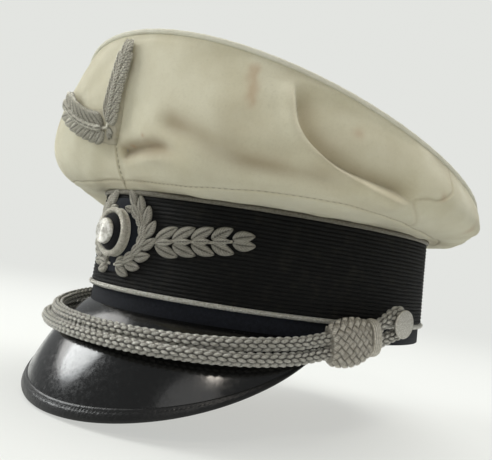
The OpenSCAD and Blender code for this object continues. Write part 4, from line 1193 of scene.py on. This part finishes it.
ROWS, BEAD, BEAD_L, BEAD_W = 8, 4.1, 2.35, 1.24


def plait(s, f):
    """A round plait: eight rows of long slanting beads, each row half a bead on from the next."""
    s, f = np.broadcast_arrays(s, f)
    best = np.zeros(s.shape)
    first = np.round(f / (2 * math.pi) * ROWS)
    for dc in (-1, 0, 1):
        row = first + dc
        v = (f / (2 * math.pi) * ROWS - row) * 2.55
        shift = np.mod(row, 2) * 0.5
        lean = np.where(np.mod(row, 2) < 0.5, 1.0, -1.0) * 0.30
        near = np.round(s / BEAD - shift)
        for dk in (-1, 0, 1):
            x = s - (near + dk + shift) * BEAD
            a, b = x + lean * v, v - lean * x
            best = np.maximum(best, np.sqrt(np.clip(1 - (a / BEAD_L) ** 2 - (b / BEAD_W) ** 2, 0, 1)))
    return 1.85 + 1.55 * best


# Painted shade in the gaps between the beads
def plait_gap_shade(s, f):
    return np.clip(1.35 - (plait(s, f) - 1.85) / 0.80, 0, 1)


for sd, nm in ((1, "upper"), (-1, "lower")):
    ang = np.radians(np.linspace(175.5, 66, 60))[:, None]
    loop = HINGE + 5.6 * (fore * np.cos(ang) + sd * rise * np.sin(ang))
    line = half + sd * STACK * (CORD_R + 0.1)
    one = np.concatenate([loop, line])
    both = np.concatenate([one, (one * [-1, 1, 1])[::-1][1:]])
    both = relaxed(resample(both, 0.33), 30)
    cord = Shape()
    tt, a, b = frames(both, False, np.array([1.0, 0, 0]))
    s = along(both)
    f = np.linspace(0, 2 * math.pi, 57)
    rad = plait(s[:, None], f[None])
    g = both[:, None] + rad[..., None] * (a[:, None] * np.cos(f)[None, :, None]
        + b[:, None] * np.sin(f)[None, :, None])
    cord.add(g, np.stack(np.broadcast_arrays(f[None] * 3.1, s[:, None]), -1), flip=True,
        deep=plait_gap_shade(s[:, None], f[None]))
    for e, back in ((0, False), (-1, True)):
        mid = both[e]
        cord.add(np.stack([mid + (g[e] - mid) * ww for ww in (1, 0.6, 0.001)], 1), flip=back)
    cord.make("chin_cord_plait_" + nm, "chin_cord", ["chin_cord_" + nm], CORD, "silver_cord", sharp=85)

# Slide knots and collars
DIR = unit(S_TO - S_FROM)


def on_straight(y, mirrored):
    """Local axes on the straight of the pair: X along the cords to the front, Y outward, Z up."""
    at = mix(S_FROM, S_TO, (S_FROM[1] - y) / (S_FROM[1] - S_TO[1]))
    across = unit(np.cross(UP, DIR))
    top = np.cross(DIR, across)
    if across[0] < 0:
        across = -across
    flip = np.array([-1 if mirrored else 1, 1, 1])
    return lambda p: (at + p[..., :1] * DIR + p[..., 1:2] * across + p[..., 2:] * top) * flip


def barrel_skin(length, outer, inner, height, waist, x, f):
    s = 1 - waist * (2 * x / length) ** 2
    c, sn = np.cos(f), np.sin(f)
    y = np.where(c > 0, outer * s, inner * mix(1, s, 0.4)) * np.sign(c) * np.abs(c) ** 0.75
    z = height * s * np.sign(sn) * np.abs(sn) ** 0.85
    return np.stack(np.broadcast_arrays(x + 0 * y, y, z), -1)


def basket(x, p):
    """Diagonal bands of four parallel wires that cross over and under; p is the way round, 0 to 1."""
    a, b = 12 * p + x / 4.3, 12 * p - x / 4.3
    ia, ib = np.floor(a), np.floor(b)
    fa, fb = a - ia, b - ib
    over = ((ia + ib) % 2) == 0
    across, lengthwise = np.where(over, fa, fb), np.where(over, fb, fa)
    wires = np.abs(np.sin(math.pi * across * 4)) ** 0.7
    crown = np.clip(1 - np.abs(2 * across - 1) ** 8, 0,
        1) ** 0.5 * (1 - 0.8 * np.abs(2 * lengthwise - 1) ** 3)
    # the second value is painted shade where the wires lie low
    return -1.5 + 0.85 * crown + 0.65 * wires * (0.35 + 0.65 * crown), np.clip(1.25
        - (0.3 + 0.8 * wires) * (0.25 + 0.85 * crown), 0, 1)


def wound(place, mirrored, x, skin, d, mid_z, uv, deep, pull, core_z, steps, end_shade):
    """A wrapped body: a skin pushed out by d from its middle, with both ends closed towards a core."""
    mids = np.stack(np.broadcast_arrays(x, 0 * around, np.clip(skin[..., 2], -mid_z, mid_z)), -1)
    g = skin + unit(skin - mids) * d[..., None]
    shape = Shape().add(place(g), np.stack(np.broadcast_arrays(*uv), -1), flip=mirrored, deep=deep)
    for e in (0, -1):
        flat = np.clip(g[e, :, 2], -core_z, core_z)
        core = np.stack([x[e, 0] * pull + 0 * flat, 0 * flat, flat], -1)
        cap = np.stack([mix(g[e], core, k) for k in steps], 1)
        # painted shade on the closed ends
        shape.add(place(cap), flip=(e == 0) != mirrored, deep=end_shade)
    return shape


around = np.linspace(0, 2 * math.pi, 441)[None]
for mirrored, nm in ((False, "left"), (True, "right")):
    x = np.linspace(-1, 1, 241)[:, None] * 11.8
    skin = barrel_skin(23.6, 7.6, 4.4, 12, 0.22, x, around)
    round_way = along(skin[120])
    d, wire_gap_shade = basket(x, (round_way / round_way[-1])[None])
    end = smooth(11.8, 10.6, np.abs(x))
    knot = wound(on_straight(-29.5, mirrored), mirrored, x, skin, d * end - 1.2 * (1 - end), 4,
                 (x, around * 9), wire_gap_shade, 0.97, 3.6, (0, 0.35, 0.7, 0.98), 0.55)
    knot.make("slide_knot_woven_" + nm, "slide_" + nm, ["slide_knot_" + nm], KNOT, "silver_cord", sharp=85)
    x = np.linspace(-1, 1, 73)[:, None] * 2.8
    skin = barrel_skin(5.6, 6, 4.3, 9.4, 0.08, x, around)
    wires = np.abs(np.sin(math.pi * (x + 2.8) / 1.12 + 0.5 * np.sin(around * 2 + 0.5))) ** 0.7
    end = smooth(2.8, 2.3, np.abs(x))
    d = -0.7 + 0.6 * wires * end - 0.6 * (1 - end)
    # painted shade in the gaps between the collar's turns
    collar = wound(on_straight(-14.4, mirrored), mirrored, x, skin, d, 3.4, (around * 8, x),
                   np.clip(1 - wires, 0, 1), 0.95, 3.4, (0, 0.4, 0.98), 0.5)
    collar.make("slide_collar_wound_" + nm, "slide_" + nm, ["slide_collar_" + nm], KNOT, "silver_cord",
        sharp=85)

    # Side button: a pebbled flat-domed disc with a turned edge, on its shank
    stem_x = HINGE[0] + CORD_R + 0.4
    prof = [(0.01, 81.9), (1.25, 81.9), (1.25, stem_x - 0.1), (3.2, stem_x - 0.05), (6.5, stem_x),
        (7.0, stem_x + 0.25), (7.2, stem_x + 0.7), (7.2, stem_x + 1.1), (7.0, stem_x + 1.55),
        (6.65, stem_x + 1.75), (6.3, stem_x + 1.68), (6.1, stem_x + 1.74)]
    prof += [(r, stem_x + 1.78 + 0.68 * (1 - (r / 6.1) ** 2)) for r in np.linspace(5.9, 0.01, 26)]
    button = Shape()
    dots = lambda f, r: (r < 6.0) * (r > 0.05) * 0.05 * np.sin(f
        * np.maximum(np.round(r * 5.5), 1)) * np.cos(r * 7)
    button.lathe(prof, 128, (0, HINGE[1], HINGE[2]), "x", shape=dots)
    if mirrored:
        button.v = [v * [-1, 1, 1] for v in button.v]
        button.q = [q[:, ::-1] for q in button.q]
    button.make("button_pebbled_" + nm, "side_button_" + nm, ["button_" + nm], BUTTON, "silver_metal",
        sharp=60)

# CAD parts whose shape is already right keep it, with better materials
for node, m in (("band_stiffener", STIFF), ("button_washer_left", BRASS), ("button_washer_right", BRASS),
        ("wire_ferrule", BRASS), ("front_stay", STEEL)):
    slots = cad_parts[node].data.materials
    for i in range(len(slots)):
        slots[i] = m.m


# ---- Stage, light and camera ---------------------------------------------------------------

low_z = min(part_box(n)[0].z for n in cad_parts) - 0.0006
bpy.ops.mesh.primitive_circle_add(vertices=96, radius=6, fill_type="NGON", location=(0, 0, low_z))
floor = bpy.context.object
floor.name = "floor"
floor.data.materials.append(FLOOR.m)

world = bpy.data.worlds.new("studio")
bpy.context.scene.world = world
world.use_nodes = True
wn = world.node_tree.nodes
seen, ambient = wn["Background"], wn.new("ShaderNodeBackground")
for node, colour, strength in ((seen, PALE, PALE_STRENGTH), (ambient, (0.97, 1.0, 1.0, 1), 0.30)):
    node.inputs["Color"].default_value, node.inputs["Strength"].default_value = colour, strength
split, ray = wn.new("ShaderNodeMixShader"), wn.new("ShaderNodeLightPath")
join(world.node_tree, (ray.outputs["Is Camera Ray"], split.inputs["Fac"]),
     (ambient.outputs[0], split.inputs[1]), (seen.outputs[0], split.inputs[2]),
     (split.outputs[0], wn["World Output"].inputs["Surface"]))
bpy.context.scene.view_settings.view_transform = "Standard"


def soft_light(name, place, size, power, colour=(1, 1, 1)):
    data = bpy.data.lights.new(name, "AREA")
    data.shape, data.size, data.energy, data.color = "DISK", size, power, colour
    o = bpy.data.objects.new(name, data)
    bpy.context.scene.collection.objects.link(o)
    o.location = place
    o.rotation_euler = (Vector((0, 0, 0.04)) - Vector(place)).to_track_quat("-Z", "Y").to_euler()


soft_light("overhead", (0.15, 0.35, 1.45), 1.3, 20, (1, 0.99, 0.96))
soft_light("window", (-0.98, -0.80, 0.60), 0.66, 7, (0.95, 0.99, 1))
soft_light("right", (0.62, -0.58, 0.78), 0.16, 1.3, (1, 0.92, 0.82))
soft_light("left", (-1.3, -0.75, 0.9), 1.2, 14, (1, 0.99, 0.96))
soft_light("front", (1.0, -1.3, 0.85), 1.0, 2.5, (1, 0.99, 0.97))

# The camera was solved from the band's outline in the photograph
right = Vector((0.67027, 0.72735, 0.14734))
up = Vector((-0.07310, -0.13286, 0.98844))
back = right.cross(up)
cam = bpy.data.cameras.new("camera")
cam.sensor_width, cam.lens = 36.0, 53.28
co = bpy.data.objects.new("camera", cam)
bpy.context.scene.collection.objects.link(co)
co.matrix_world = Matrix.Translation((0.30806, -0.30202, 0.03407)) @ Matrix((right, up, back)).transposed(
    ).to_4x4()
bpy.context.scene.camera = co
